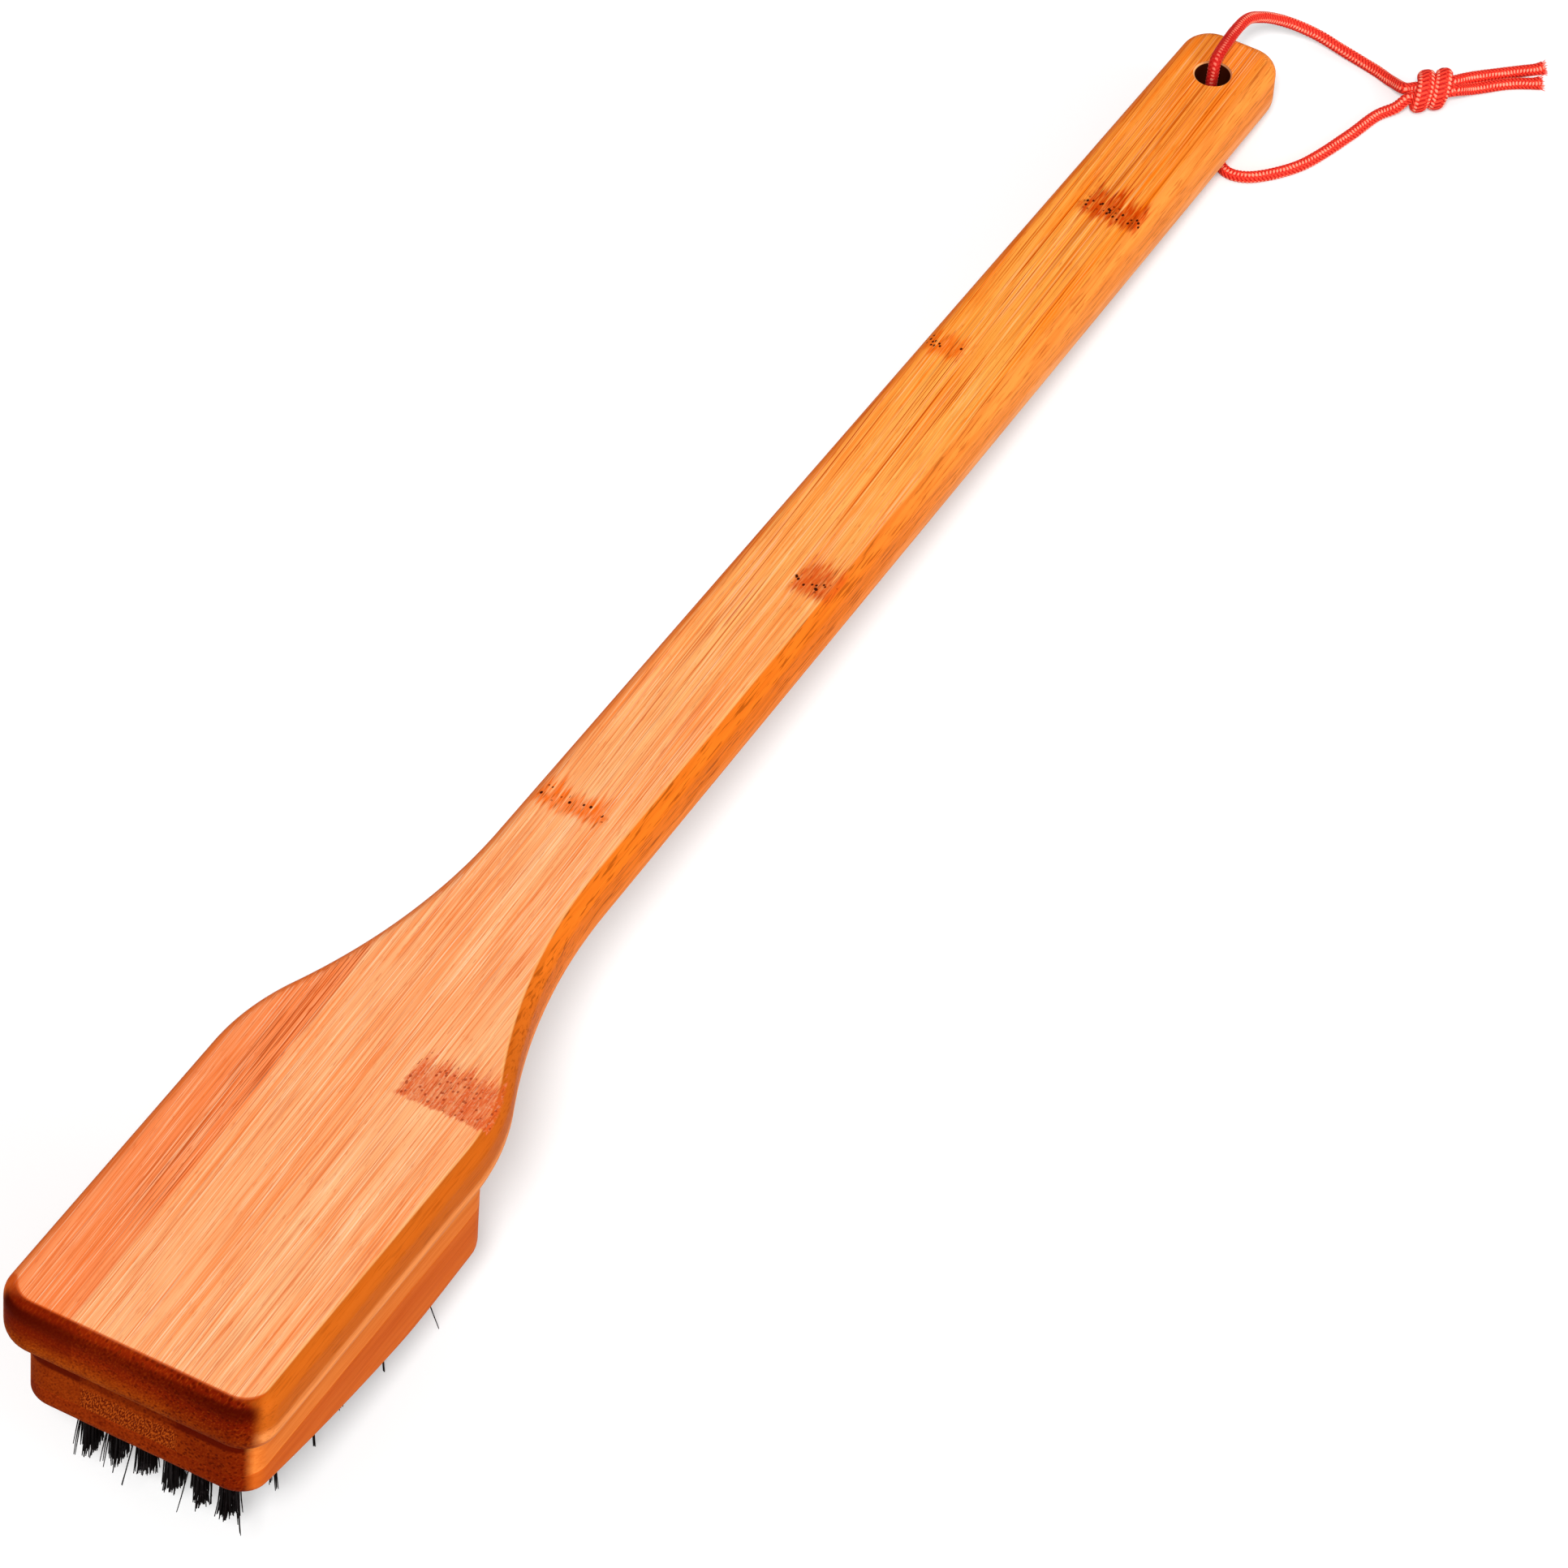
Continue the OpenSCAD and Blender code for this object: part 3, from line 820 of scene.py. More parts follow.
def board_finish(board):
    """The board's bamboo: its face, sides, growth rings, edges, end grain and the cord's hole."""
    f = Bamboo("bamboo_board", 0.0)
    x, y, z = f.x, f.y, f.z
    far = f.ramp(x, 110, 350)
    light, dark = f.mix(far, tuple(board.wood), FAR_LIGHT), f.mix(far, tuple(board.wood_deep), FAR_DARK)
    base, fine, dashes, long_lines = board_face(f, light, dark, f.mix(far, FACE_LINE, FAR_LINE), far)
    # A painted highlight along the tangent line of the right edge's rounding
    rim = f.ramp(f.right, 0.02, 0.06) * (1 - f.ramp(f.right, 0.10, 0.18)) * f.ramp(f.nz, 0.5, 0.9)
    base = f.coats(
        base,
        (f.side, board_sides(f)),
        (rim * 0.40 * (1 - f.end) * (1 - f.ramp(x, 230, 280)), RIGHT_RIM_HIGHLIGHT),
        (f.ramp(f.ny, 0.12, 0.45) * (1 - f.end) * 0.55, LEFT_RIM),
    )
    for ring in GROWTH_RINGS:
        base = f.growth_ring(base, *ring)
    turned = f.ramp(f.forward, 0.01, 0.07) * f.ramp(f.nz, 0.3, 0.7) * (1 - f.ramp(f.right, 0.10, 0.35))
    base = f.mix(turned * 0.8, base, FRONT_RIM)
    base, height = f.end_grain(base, END_UPPER, END_LOWER, 6.5, 4.0)
    front = f.end * (1 - f.ramp(x, 40, 60))
    left_strip = f.ramp(y, 11.2, 11.5) * f.ramp(z, 5.5, 9.0)
    top_edge = f.ramp(z, 9.0, 13.5) * (1 - f.ramp(f.nz, 0.55, 0.9)) * (0.60 + f.ramp(abs(y), 6, 26) * 0.30)
    base = f.coats(base, (front * left_strip * 0.5, END_DEEP), (front * top_edge, SHADED_EDGE))
    f.feed(hole_edge(f, base, board), 0.44 + fine * 0.12 + f.end * 0.2)
    relief = 1 - fine * 0.4 - dashes * 0.7 - long_lines * 0.3
    f.bump(relief + f.end * height * 1.2, 0.25, 0.10 * MM)
    return f.material


def ply_finish(slot, seed, light, dark, *end_grain):
    """One ply of the block: plain fibres at its sides and end grain at its front."""
    f = Bamboo(slot, seed)
    fine = f.streaks(*PLY_LINES)
    base = f.coats(
        f.mix(f.tone(0.7, 0.9, 1.0), dark, light),
        (fine * 0.35, FACE_LINE),
        (f.streaks(*PLY_DASHES) * 0.3, FACE_LINE),
    )
    base, height = f.end_grain(base, *end_grain)
    f.feed(base, 0.46 + fine * 0.12 + f.end * 0.2)
    f.bump(1 - fine * 0.4 + f.end * height * 1.6, 0.3, 0.14 * MM)
    return f.material


# The block's plies: slot, seed, light and dark fibres, and their end grain
UPPER_PLY = (
    "bamboo_upper_ply", 5.0, paint(246, 144, 64), paint(220, 104, 30), *(paint(156, 58, 8),) * 2,
    -5.0, 2.0, (-10.0, 12.2, -10.7, -4.0),
)
LOWER_PLY = (
    "bamboo_lower_ply", 9.0, paint(224, 112, 38), paint(198, 84, 18), paint(150, 50, 7), paint(166, 66, 12),
    -14.0, 2.0,
)


# GLINT is the colour of the painted glints on the wires
GLINT = (0.06, 0.045, 0.048)
STRIP_DARK, STRIP_LIGHT = (0.44, 0.44, 0.46), (0.66, 0.66, 0.68)


def wire_finish(steel):
    """Dark oiled steel wire with a few brighter flats."""
    f = Finish("bristle_wire", Metallic=0.1, Specular_IOR_Level=0.02)
    glint = f.ramp(f.noise(f.place(), 0.8), 0.56, 0.72)
    f.feed(f.mix(glint * 0.3, steel, GLINT), 0.40 + glint * 0.2)
    return f.material


def strip_finish():
    """Bare steel strip with rolling marks."""
    f = Finish("anchor_steel", Metallic=1.0)
    rolled = f.grain(f.place(), 12, 0.2, 2, 2.0)
    f.feed(f.mix(rolled, STRIP_DARK, STRIP_LIGHT), 0.28 + rolled * 0.2)
    return f.material


def braid_finish(red, deep, pale):
    """Braided cord: dark gaps between the strands, pale stitches, deeper red where it leaves the hole."""
    f = Finish("cord_red", Specular_IOR_Level=0.1)
    height = f.add("ShaderNodeAttribute", {"attribute_name": "braid"}, None, 2)
    place = f.place()
    x, _, z = f.axes(place)
    fibres = f.noise(place, 6.0)
    # Deeper red where the cord leaves the hole: partly painted shade, partly its stretched braid
    stretched_and_shaded = (1 - f.ramp(x, 224, 238)) * f.ramp(z, 5, 10)
    tone = f.coats(
        # Painted shade: deep red in the gaps between the strands, where the braid is low
        f.mix(f.ramp(height, 0.35, 0.95), deep, f.mix(stretched_and_shaded * 0.8, red, deep)),
        # Painted highlight on the braid's crests and the glint dashes, weaker near the hole
        (f.ramp(height, 0.9, 1.35) * (1 - stretched_and_shaded * 0.6) * 0.95, pale),
        (f.ramp(fibres, 0.50, 0.7) * 0.12, pale),
    )
    f.feed(tone, 0.5 + fibres * 0.2)
    f.bump(fibres, 0.3, 0.05 * MM)
    return f.material


CAMERA_PLACE = (-1.127514, -0.649852, 1.546055)
CAMERA_RIGHT = (0.494040, -0.869434, 0.003032)
CAMERA_DOWN = (-0.664540, -0.379856, -0.643503)
CAMERA_AHEAD = (0.560635, 0.315901, -0.765438)


class GRILL_OT_camera(bpy.types.Operator):
    """Set the camera at the viewing angle"""

    bl_idname = "grill_brush.camera"
    bl_label = "Camera"

    def execute(self, context):
        data = bpy.data.cameras.new("camera")
        data.sensor_width = 36
        data.lens = context.scene.grill_stage.lens / MM
        data.clip_start = 0.05
        data.clip_end = 50
        camera = bpy.data.objects.new("camera", data)
        turned = Matrix((CAMERA_RIGHT, [-v for v in CAMERA_DOWN], [-v for v in CAMERA_AHEAD])).transposed()
        camera.matrix_world = Matrix.Translation(CAMERA_PLACE) @ turned.to_4x4()
        context.scene.collection.objects.link(camera)
        context.scene.camera = camera
        return {"FINISHED"}


# The cord's route, from the knot over the handle's end, down the hole and back beneath the handle
LOOP_ROUTE = (
    (0.2455, -0.029, 0.0022), (0.2475, -0.024, 0.00135), (0.2485, -0.0165, 0.002),
    (0.2485, -0.0085, 0.004), (0.2455, -0.0025, 0.0075), (0.240, 0.001, 0.012),
    (0.233, 0.002, 0.016), (0.2195, 0.001, 0.0185), (0.216, 0.0005, 0.0155),
    (0.215, 0.0005, 0.010), (0.214, 0.0005, 0.0045), (0.213, -0.0005, 0.0019),
    (0.211, -0.0025, 0.00125), (0.2045, -0.0085, 0.00125), (0.2045, -0.014, 0.00125),
    (0.209, -0.0195, 0.00125), (0.2155, -0.024, 0.00125), (0.2265, -0.028, 0.00125),
    (0.235, -0.0305, 0.00135), (0.2385, -0.0335, 0.0024),
)
FIRST_TAIL = ((0.2545, -0.044, 0.003), (0.2615, -0.050, 0.0014), (0.2665, -0.056, 0.00125))
SECOND_TAIL = ((0.2525, -0.0455, 0.002), (0.2585, -0.0515, 0.0013), (0.262, -0.0575, 0.00125))
KNOT_HEADING = math.radians(-48)
KNOT_PLACE = (0.2455, -0.0385)
KNOT_PULL = 0.004
CORD_STEP = 0.15 * MM
# Radius of the braid's tube as a multiple of the cord's
PLUMP = 1.06
UPWARD = np.array([0.0, 0.0, 1.0])

# The cord's cut ends: over what length they flare and by what share, over what length they round off,
# and their loose fibres
FLARE_LENGTH, FLARE = 2.2 * MM, 0.22
END_ROUND = 0.3 * MM
FRAY_COUNT = 34
FRAY_RADIUS = 0.09 * MM
GOLDEN_TURN = math.pi * (3 - math.sqrt(5))

# The knot's winding: half sizes of its flattened strand, how far its two lobes lie from the middle and
# lean over, its first angle, its whole turn and the angle it leans towards in degrees, and the share of
# it before and in the crossing from one lobe to the other
STRAND_HALF_WIDE, STRAND_HALF_TALL = 1.95 * MM, 1.4 * MM
LOBE_REACH, LOBE_LEAN = 1.95 * MM, 1.5 * MM
WINDING_START, WINDING_TURN, WINDING_LEAN = 262, 600, 40
CROSSING_START, CROSSING_SHARE = 0.36, 0.28
# Radius over the winding as a multiple of the knot's
WINDING_SWELL = 1.04
# The share of the winding over which each end tucks in, and the shares of its reach and width left there
TUCK_SHARE, TUCK_REACH, TUCK_WIDTH = 0.08, 0.52, 0.75


def spiral(k, count):
    """One of the places that fill a round of radius 1 evenly."""
    out, turn = math.sqrt((k % count + 0.5) / count), k * GOLDEN_TURN
    return out * math.cos(turn), out * math.sin(turn)


def frayed_end(place, heading, radius, chance):
    """Short loose fibres that spread from a cut end."""
    side = np.cross(heading, UPWARD)
    side /= np.linalg.norm(side)
    top = np.cross(side, heading)
    parts = []
    for k in range(FRAY_COUNT):
        sideways, upwards = spiral(k, FRAY_COUNT)
        out = sideways * side + upwards * top
        root = place + radius * out - 0.3 * MM * heading
        spread = (0.25 + 0.5 * chance.random()) * MM
        tip = root + chance.uniform(0.5, 1.1) * MM * heading + spread * out
        tip[2] = max(tip[2], 0.1 * MM)
        fibre, faces = bent_wire(root, tip, np.zeros(3), FRAY_RADIUS)
        parts.append((fibre, faces, [0.7 + 0.6 * chance.random()] * len(fibre)))
    return parts


def braided_piece(name, parts, node, finish):
    """A piece of cord made of parts, each with its braid marks."""
    piece = new_piece(name, *joined(part[:2] for part in parts))
    marks = piece.data.attributes.new("braid", "FLOAT", "POINT")
    marks.data.foreach_set("value", [mark for part in parts for mark in part[2]])
    return fit(piece, node, finish, posed=False)


def free_end(route, ahead, radius, chance):
    """Parts of one free end of the cord, which flares and frays where it was cut."""
    tail = smooth_route(route, KNOT_PULL * ahead, (route[-1] - route[-2]) / 2, CORD_STEP)
    left = path_length(tail) - np.linspace(0, path_length(tail), len(tail))
    flare = radius * (1 + FLARE * np.clip(1 - left / FLARE_LENGTH, 0, 1) ** 1.5)
    rounded = np.sqrt(np.clip(1 - np.clip(1 - left / END_ROUND, 0, 1) ** 2, 0.4, 1))
    tail[:, 2] += flare - radius
    heading = (tail[-1] - tail[-4]) / np.linalg.norm(tail[-1] - tail[-4])
    tube = braided_tube(tail, UPWARD, flare * rounded, flare * rounded)
    return [tube, *frayed_end(tail[-1], heading, 1.1 * radius, chance)]


def knot_winding(cord, centre, ahead, side):
    """The strand that winds round the knot in two lobes."""
    t = np.linspace(0, 1, 360)
    angle = np.radians(WINDING_START - WINDING_TURN * t)
    wrap = WINDING_SWELL * cord.knot_diameter / 2 - STRAND_HALF_TALL
    inward = np.clip(np.minimum(t, 1 - t) / TUCK_SHARE, 0, 1)
    reach = wrap * (TUCK_REACH + (1 - TUCK_REACH) * np.sin(inward * math.pi / 2))
    across = smooth_step((t - CROSSING_START) / CROSSING_SHARE)
    lean = LOBE_LEAN * np.cos(angle - math.radians(WINDING_LEAN))
    forward = LOBE_REACH * (2 * across - 1) + lean
    outward = np.cos(angle)[:, None] * side + np.sin(angle)[:, None] * UPWARD
    winding = centre + forward[:, None] * ahead + reach[:, None] * outward
    half_wide = STRAND_HALF_WIDE * (TUCK_WIDTH + (1 - TUCK_WIDTH) * inward)
    return braided_tube(winding, outward, half_wide, STRAND_HALF_TALL, sides=48)


class GRILL_OT_cord(bpy.types.Operator):
    """Build the braided hanging cord, its knot and its two free ends"""

    bl_idname = "grill_brush.cord"
    bl_label = "Hanging cord"

    def execute(self, context):
        cord = context.scene.grill_cord
        radius = PLUMP * cord.diameter / 2
        centre = np.array([*KNOT_PLACE, cord.knot_diameter / 2])
        ahead = np.array([math.cos(KNOT_HEADING), math.sin(KNOT_HEADING), 0])
        side = np.array([-math.sin(KNOT_HEADING), math.cos(KNOT_HEADING), 0])
        apart = (cord.diameter + cord.strand_gap) / 2
        finish = braid_finish(cord.red, cord.red_shaded, cord.red_pale_glint)

        def mouth(end, strand):
            return centre + end * cord.knot_length / 2 * ahead + strand * apart * side

        route = [mouth(-1, 1), *(np.array(p) for p in LOOP_ROUTE), mouth(-1, -1)]
        path = smooth_route(route, -KNOT_PULL * ahead, KNOT_PULL * ahead, CORD_STEP)
        tube = braided_tube(path, UPWARD, radius, radius)
        loop = braided_piece("hanging_loop", [tube], "hang_cord", finish)

        tails = []
        chance = random.Random(7)
        for strand, places in ((1, FIRST_TAIL), (-1, SECOND_TAIL)):
            tails += free_end([mouth(1, strand), *(np.array(p) for p in places)], ahead, radius, chance)
        ends = braided_piece("cord_ends", tails, "cord_tails", finish)

        parts = [knot_winding(cord, centre, ahead, side)]
        past = 0.3 * MM * ahead
        for strand in (1, -1):
            core = np.linspace(mouth(-1, strand) - past, mouth(1, strand) + past, 60)
            parts.append(braided_tube(core, UPWARD, radius, radius))
        knot = braided_piece("cord_knot_wraps", parts, "cord_knot", finish)

        tuple(mouth(-1, 1))
        return {"FINISHED"}


class GRILL_OT_board(bpy.types.Operator):
    """Build the bamboo board with the hole for its cord"""

    bl_idname = "grill_brush.board"
    bl_label = "Board"

    def execute(self, context):
        board = context.scene.grill_board
        sections = lower_round(board.bottom_round, 12) + upper_round(board.top_round, board.thickness, 9)
        piece = loft("bamboo_handle_board", board_half(board), sections)
        radius, bevel, over = board.hole_diameter / 2, board.hole_bevel, 1 * MM
        wide = radius + 2 * bevel
        mouth = [(wide, -over), (wide, -bevel), (radius + bevel, 0), (radius, bevel)]
        profile = mouth + [(reach, board.thickness - level) for reach, level in reversed(mouth)]
        centre = (board.length - board.hole_inset, 0, 0)
        cut(piece, new_piece("hole_cutter", *lathe(profile, centre, 64)))
        fit(piece, "handle_board", board_finish(board))
        check_place(piece, "handle_board")
        return {"FINISHED"}


GLUE_GROOVE = 0.12 * MM
# The share by which the lower ply's rounding grows, from where behind the head's front, over what length
ROUND_SWELL, SWELL_START, SWELL_LENGTH = 1.1, 60 * MM, 34 * MM
# Wood left between a tuft's hole and the upper ply, at least
HOLE_FLOOR = 0.4 * MM


class GRILL_OT_block(bpy.types.Operator):
    """Build the block's two plies, with the tufts' holes in the lower one"""

    bl_idname = "grill_brush.block"
    bl_label = "Brush block"

    def execute(self, context):
        board, block, bristles = brush_settings()
        half = block_half(board, block)
        joint = -block.upper_ply
        groove, rim = GLUE_GROOVE, GLUE_GROOVE + FLAT_RIM
        upper = loft("block_ply_upper", half, [
            (rim, joint, 0), (groove, joint, 0), (0, joint + groove, 0),
            (0, -groove, 0), (groove, 0, 0), (rim, 0, 0),
        ])
        lower = loft(
            "block_ply_lower", half,
            lower_round(block.lower_round, 10, 1)
            + [(0, joint - groove, 0), (groove, joint, 0), (rim, joint, 0)],
            lambda x: -block_depth(block, x),
            lambda x: 1 + ROUND_SWELL * smooth_step((x - SWELL_START) / SWELL_LENGTH),
        )
        holes = []
        radius = bristles.hole_diameter / 2
        for row in range(1, bristles.rows + 1):
            depth = block_depth(block, row_x(row))
            deep = min(bristles.hole_depth, depth - block.upper_ply - HOLE_FLOOR)
            for y in tuft_places(row):
                holes.append(lathe([(radius, -2 * MM), (radius, deep)], (row_x(row), y, -depth), 20))
        cut(lower, new_piece("tuft_hole_cutter", *joined(holes)))
        plies = ((upper, UPPER_PLY, "block_upper_ply"), (lower, LOWER_PLY, "block_lower_ply"))
        for piece, ply, node in plies:
            fit(piece, node, ply_finish(*ply))
            check_place(piece, node)
        return {"FINISHED"}


WIRE_SIDES = 5
WIRE_RINGS = 6
# Share of its thickness that a wire loses towards its tip
WIRE_TAPER = 0.45
# Ends of the clumps of wires in the first row's tufts, from the first to the last tuft: how far
# each lies to -Y of its tuft's middle and how long it is, in mm
FRONT_CLUMPS = (
    ((-2.0, 17.3), (-0.9, 17.2), (0.2, 17.5), (1.3, 15.7), (2.3, 16.6)),
    ((-1.9, 13.2), (-0.8, 16.2), (0.5, 17.6), (1.4, 15.8), (2.2, 16.6), (2.7, 12.8)),
    ((-2.1, 15.9), (-1.0, 17.0), (0.0, 16.8), (0.9, 16.4), (1.8, 15.2), (2.6, 13.2)),
    ((-2.1, 16.6), (-1.1, 15.7), (0.0, 15.1), (1.0, 14.9), (2.0, 14.9)),
    ((-2.2, 15.7), (-1.3, 16.0), (-0.3, 16.4), (0.1, 17.9), (0.9, 15.0), (2.0, 12.4)),
    ((-1.9, 15.3), (-0.9, 17.3), (-0.1, 17.7), (0.8, 17.3), (1.8, 13.6)),
)
# Clumps of the other tufts: how many, how far out they lie and how long they are, in mm
CLUMP_COUNT, CLUMP_OUT, CLUMP_LENGTH = 7, 1.7, 16
# How far wires are drawn to the middle of their clump, in the first row and in the others, and how
# much shorter they get for each mm from it
FRONT_PULL, PULL, CLUMP_SLOPE = 0.55, 0.4, 0.7
# Wires that would reach further down than this, in mm, lean forward instead
LONGEST_WIRE = 16.4
# Wires bent out of their tufts: row, tuft, where the tip lies behind the tuft's middle and to +Y of it
# in mm, how many wires; then their length in mm and their thickness as a share of the others'
STRAY_WIRES = (
    (1, 6, -0.9, 3.7, 1), (1, 6, -3.1, 1.9, 2), (1, 5, -2.2, 2.9, 2), (1, 5, -3.4, 1.6, 1),
    (1, 4, -4.9, 2.4, 2), (1, 2, -5.2, 2.6, 1), (1, 1, -1.8, -3.2, 2), (1, 1, -3.4, -4.6, 2),
    (3, 1, -1.3, -3.6, 5), (5, 1, 0.3, -3.1, 4), (9, 1, 0.0, -3.0, 4), (11, 1, 2.2, -6.4, 1),
)
STRAY_LENGTH, STRAY_THICKNESS = 16.2, 0.85
# How much single wires differ from their clump at the tip and in length, and bent ones at the tip, in mm
WIRE_JITTER, LENGTH_JITTER, STRAY_JITTER = 0.12, 0.3, 0.18
# Room left round the wires in their hole and at the tuft's tip, and over the floor
ROOT_ROOM, TIP_ROOM, FLOOR_GAP = 0.3 * MM, 0.4 * MM, 0.2 * MM
ROOT_DEPTH = 1.5 * MM
# How far out a wire's middle lies, as a share of its own place at the tip
BELLY = 0.9


def bent_wire(root, tip, sag, radius, bulge=0.0):
    """Vertices and faces of one wire: a rod that bends on its way; bulge moves its middle sideways."""
    t = np.linspace(0, 1, WIRE_RINGS)[:, None]
    path = root + (tip - root) * t + sag * (t * t * (1.2 - t)) * 4 + bulge * 4 * t * t * (1 - t)
    along = along_path(path)
    across = np.cross(along, [1.0, 0.0, 0.0])
    across /= np.linalg.norm(across, axis=1)[:, None]
    other = np.cross(along, across)
    angles = np.arange(WIRE_SIDES) * 2 * math.pi / WIRE_SIDES
    rings = path[:, None, :] + radius * (1 - WIRE_TAPER * t[:, :, None] ** 3) * (
        np.cos(angles)[None, :, None] * across[:, None, :] + np.sin(angles)[None, :, None] * other[:, None, :]
    )
    return rings.reshape(-1, 3).tolist(), closed_skin(WIRE_RINGS, WIRE_SIDES)


def clump_ends(row, column, chance):
    """Ends of a tuft's clumps of wires in mm: behind its middle, to +Y of it, and below its mouth."""
    if row == 1:
        return [(0.0, -aside, length) for aside, length in FRONT_CLUMPS[column - 1]]
    turns = [chance.uniform(0, 2 * math.pi) for _ in range(CLUMP_COUNT)]
    return [
        (CLUMP_OUT * math.cos(turn), CLUMP_OUT * math.sin(turn), CLUMP_LENGTH + chance.gauss(-0.6, 0.8))
        for turn in turns
    ]


def jitter(chance, size):
    """A small step in any direction."""
    return np.array([chance.gauss(0, size), chance.gauss(0, size)])


def tuft_wires(row, column, y, chance):
    """Vertices and faces of every wire of a tuft: those of its clumps, then the ones bent out of it."""
    _, block, bristles = brush_settings()
    pose = np.array(rest_pose())
    foot = np.array([row_x(row), y])
    mouth = -block_depth(block, row_x(row))
    root_radius = bristles.hole_diameter / 2 - ROOT_ROOM
    tip_radius = (tip_diameter() / 2 - TIP_ROOM) / MM
    first = row == 1
    pull = FRONT_PULL if first else PULL
    strays = [entry[2:4] for entry in STRAY_WIRES if entry[:2] == (row, column) for _ in range(entry[4])]
    clumps = clump_ends(row, column, chance)
    wires = []
    for k in range(bristles.wires + len(strays)):
        out = np.array(spiral(k, bristles.wires))
        own = out * tip_radius
        away = [math.hypot(0.0 if first else own[0] - cx, own[1] - cy) for cx, cy, _ in clumps]
        clump = min(range(len(clumps)), key=away.__getitem__)
        middle_x, middle_y, reaching = clumps[clump]
        middle = np.array([own[0] if first else middle_x, middle_y])
        end = own + pull * (middle - own) + jitter(chance, WIRE_JITTER)
        reaching = reaching - CLUMP_SLOPE * away[clump] + chance.gauss(0, LENGTH_JITTER)
        over = max(0.0, reaching - LONGEST_WIRE)
        end[0] -= over
        reaching -= over
        radius = bristles.wire / 2
        stray = k >= bristles.wires
        if stray:
            end = np.array(strays[k - bristles.wires]) + jitter(chance, STRAY_JITTER)
            reaching = STRAY_LENGTH + chance.uniform(0.0, 0.6)
            out = end / np.linalg.norm(end) * chance.uniform(0.6, 0.95)
            radius = STRAY_THICKNESS * radius
        root = np.array([*(foot + out * root_radius), mouth + ROOT_DEPTH])
        tip = np.array([*(foot + end * MM), mouth - reaching * MM])
        sag = np.array([*jitter(chance, WIRE_JITTER), 0]) * MM
        bulge = np.zeros(3)
        if not stray:
            bulge[:2] = 2 * (BELLY * own * MM + foot - (root[:2] + tip[:2]) / 2)
        height = pose[2, :3] @ tip + pose[2, 3]
        tip[2] += max(0.0, FLOOR_GAP - height)
        wires.append(bent_wire(root, tip, sag, radius, bulge))
    return wires


class GRILL_OT_bristles(bpy.types.Operator):
    """Build every row of wire tufts, wire by wire"""

    bl_idname = "grill_brush.bristles"
    bl_label = "Bristles"

    def execute(self, context):
        bristles = context.scene.grill_bristles
        finish = wire_finish(bristles.steel)
        for row in range(1, bristles.rows + 1):
            chance = random.Random(100 + row)
            wires = []
            for column, y in enumerate(tuft_places(row), 1):
                wires += tuft_wires(row, column, y, chance)
            piece = new_piece(f"wire_tufts_row_{row:02d}", *joined(wires), 60)
            fit(piece, f"bristle_row_{row:02d}", finish)
        return {"FINISHED"}


class GRILL_OT_anchors(bpy.types.Operator):
    """Give the hidden steel strips in the tufts' holes their finish"""

    bl_idname = "grill_brush.anchors"
    bl_label = "Anchors"

    def execute(self, context):
        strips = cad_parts["tuft_anchors"]
        finish = strip_finish()
        for slot in strips.material_slots:
            slot.material = finish
        return {"FINISHED"}


FLOOR_TONE, FLOOR_LIFT, FLOOR_BOUNCE = (0.80, 0.80, 0.80), 0.255, (0.40, 0.40, 0.40)
WHITE = (1.0, 1.0, 1.0)
# The suns: name, how wide each looks in degrees, and the way it shines
KEY_SUN = ("key", 14, (0.690, 0.310, -1.0))
SIDE_SUN = ("side_fill", 45, (0.10, 0.96, -0.28))


class Backdrop(Finish):
    """The tree of a floor or a sky, which looks different to rays that see it directly."""

    def __init__(self, tree):
        self.tree = tree
        tree.nodes.clear()

    def close(self, output, unseen, seen):
        """Ends the tree: seen is for rays that show the backdrop, unseen for those that carry its light."""
        path = self.add("ShaderNodeLightPath")
        rays = {socket.name: Socket(self, socket) for socket in path.socket.node.outputs}
        shown = rays["Is Camera Ray"] + rays["Is Glossy Ray"] + rays["Is Transmission Ray"]
        factor = self.math("MINIMUM", shown, 1.0)
        surface = self.add("ShaderNodeMixShader", None, {0: factor, 1: unseen, 2: seen})
        self.join(self.tree.nodes.new(output).inputs["Surface"], surface)


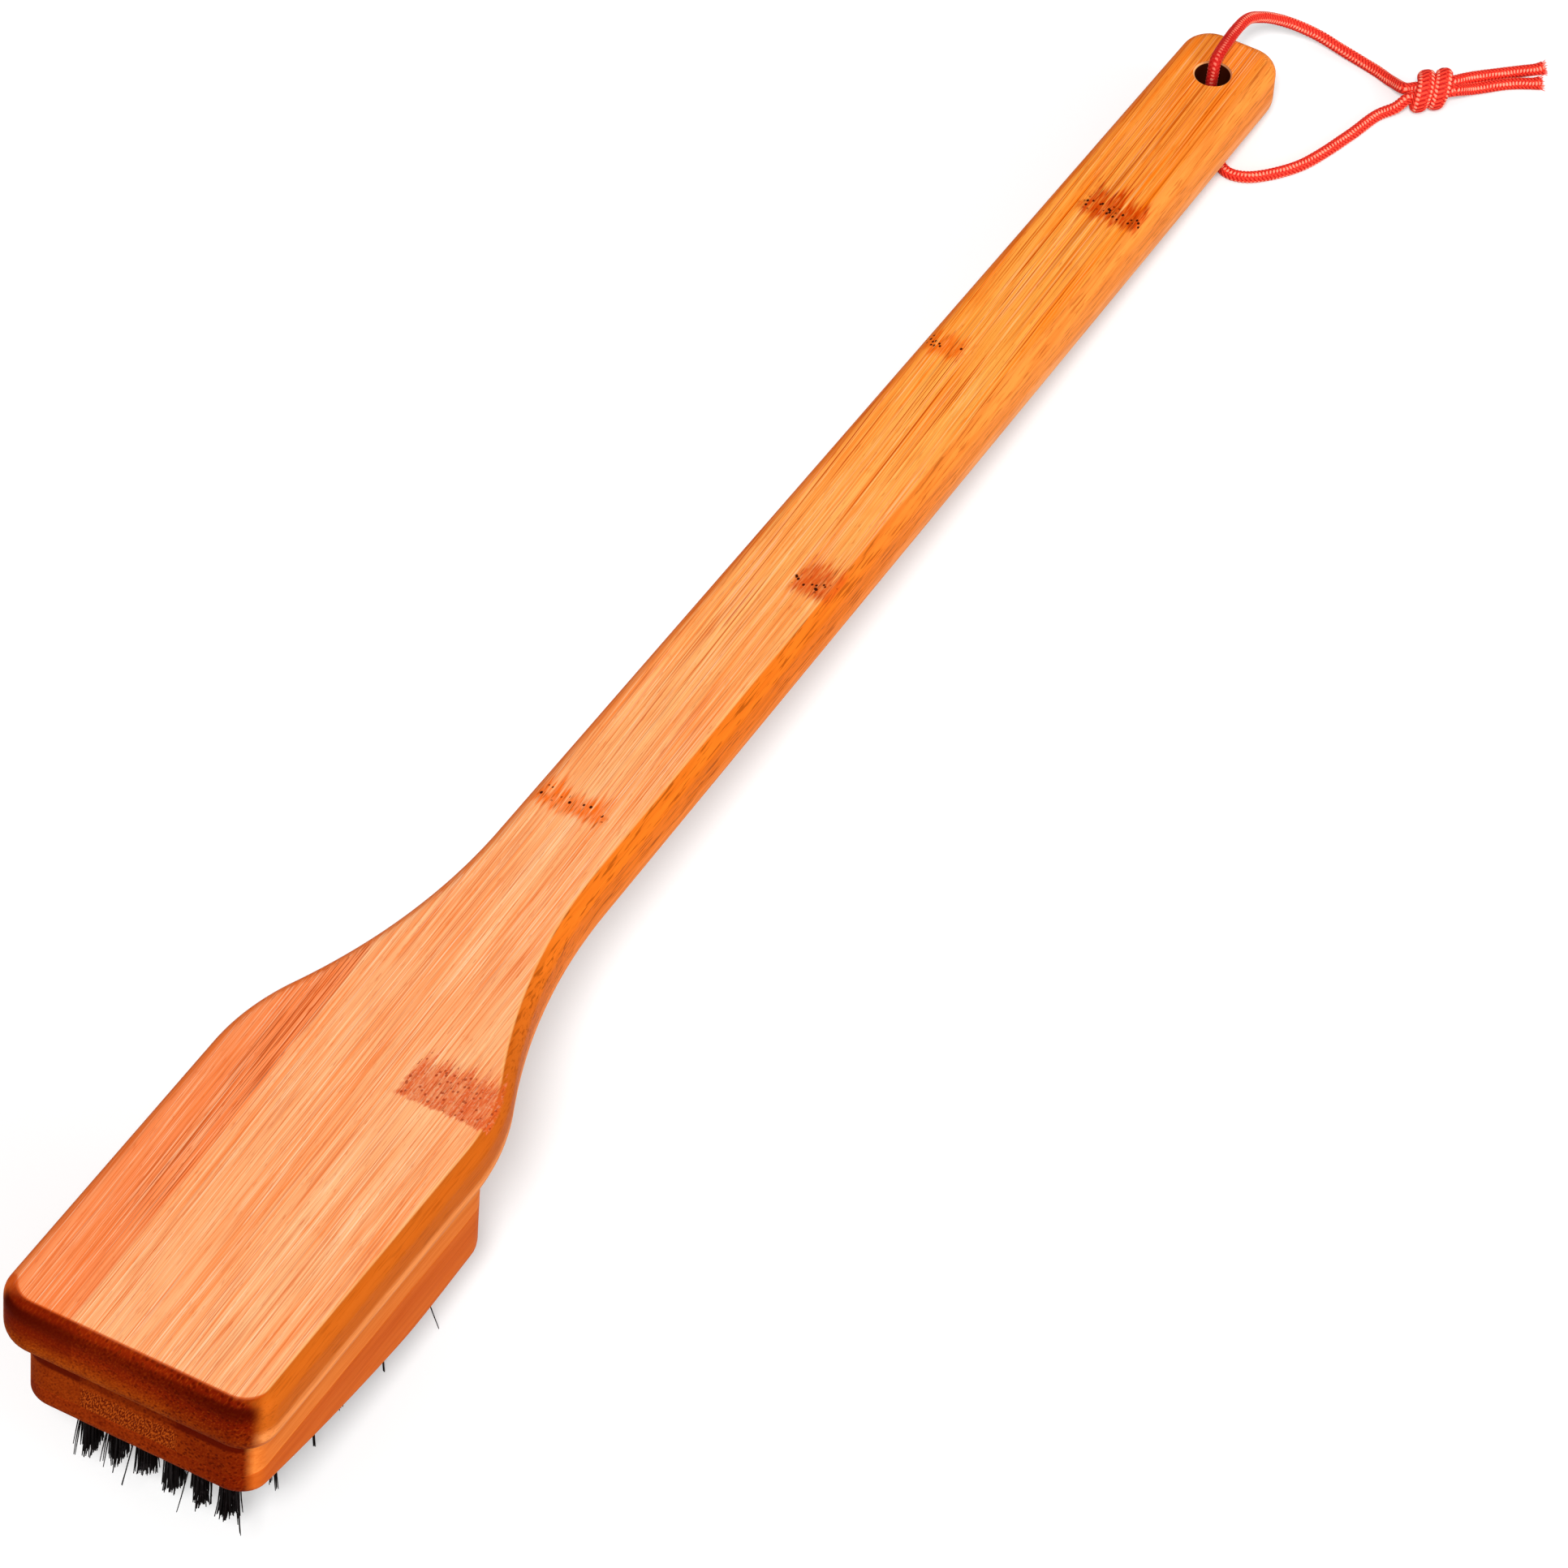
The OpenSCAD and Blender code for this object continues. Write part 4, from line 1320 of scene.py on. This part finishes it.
class GRILL_OT_stage(bpy.types.Operator):
    """Lay the pale floor and set the soft studio light"""

    bl_idname = "grill_brush.stage"
    bl_label = "Stage"

    def execute(self, context):
        scene = context.scene
        stage = scene.grill_stage
        half = stage.floor_size / 2
        corners = [(-half, -half, 0), (half, -half, 0), (half, half, 0), (-half, half, 0)]
        floor = new_piece("studio_floor", corners, [(0, 1, 2, 3)])
        material = bpy.data.materials.new("studio_floor")
        material.use_nodes = True
        f = Backdrop(material.node_tree)
        pale = f.add("ShaderNodeBsdfDiffuse", None, {"Color": FLOOR_TONE})
        lift = f.add("ShaderNodeEmission", None, {"Color": WHITE, "Strength": FLOOR_LIFT})
        bounce = f.add("ShaderNodeBsdfDiffuse", None, {"Color": FLOOR_BOUNCE})
        f.close("ShaderNodeOutputMaterial", bounce, f.add("ShaderNodeAddShader", None, {0: pale, 1: lift}))
        floor.data.materials.append(material)

        scene.world = bpy.data.worlds.new("studio")
        scene.world.use_nodes = True
        w = Backdrop(scene.world.node_tree)
        soft, white = (
            w.add("ShaderNodeBackground", None, {"Color": WHITE, "Strength": level})
            for level in (stage.ambient, 1.0)
        )
        w.close("ShaderNodeOutputWorld", soft, white)

        for level, (name, angle, shine) in ((stage.key, KEY_SUN), (stage.fill, SIDE_SUN)):
            sun = bpy.data.lights.new(name, "SUN")
            sun.energy = level * math.pi
            sun.angle = math.radians(angle)
            lamp = bpy.data.objects.new(name, sun)
            lamp.rotation_euler = Vector(shine).to_track_quat("-Z", "Y").to_euler()
            lamp.location = -Vector(shine)
            scene.collection.objects.link(lamp)
        scene.view_settings.view_transform = "Standard"
        return {"FINISHED"}


OPERATORS = (
    GRILL_OT_camera, GRILL_OT_cord, GRILL_OT_board, GRILL_OT_block, GRILL_OT_bristles, GRILL_OT_anchors,
    GRILL_OT_stage,
)
SETTINGS = {
    "grill_board": GrillBoardSettings,
    "grill_block": GrillBlockSettings,
    "grill_bristles": GrillBristleSettings,
    "grill_cord": GrillCordSettings,
    "grill_stage": GrillStageSettings,
}


class GRILL_PT_panel(bpy.types.Panel):
    """Lists the brush's pieces"""

    bl_idname = "GRILL_PT_panel"
    bl_label = "Grill brush"
    bl_space_type = "VIEW_3D"
    bl_region_type = "UI"
    bl_category = "Grill brush"

    def draw(self, context):
        for operator in OPERATORS:
            self.layout.operator(operator.bl_idname)
        for name, settings in SETTINGS.items():
            column = self.layout.column(heading=settings.__doc__)
            for field in settings.__annotations__:
                column.prop(getattr(context.scene, name), field)


CLASSES = (*SETTINGS.values(), *OPERATORS, GRILL_PT_panel)


def register():
    for entry in CLASSES:
        bpy.utils.register_class(entry)
    for name, settings in SETTINGS.items():
        setattr(bpy.types.Scene, name, PointerProperty(type=settings))


def unregister():
    for name in SETTINGS:
        delattr(bpy.types.Scene, name)
    for entry in reversed(CLASSES):
        bpy.utils.unregister_class(entry)


def main():
    register()
    for operator in OPERATORS:
        group, name = operator.bl_idname.split(".")
        getattr(getattr(bpy.ops, group), name)()
    bpy.context.view_layer.update()


if __name__ == "__main__":
    main()
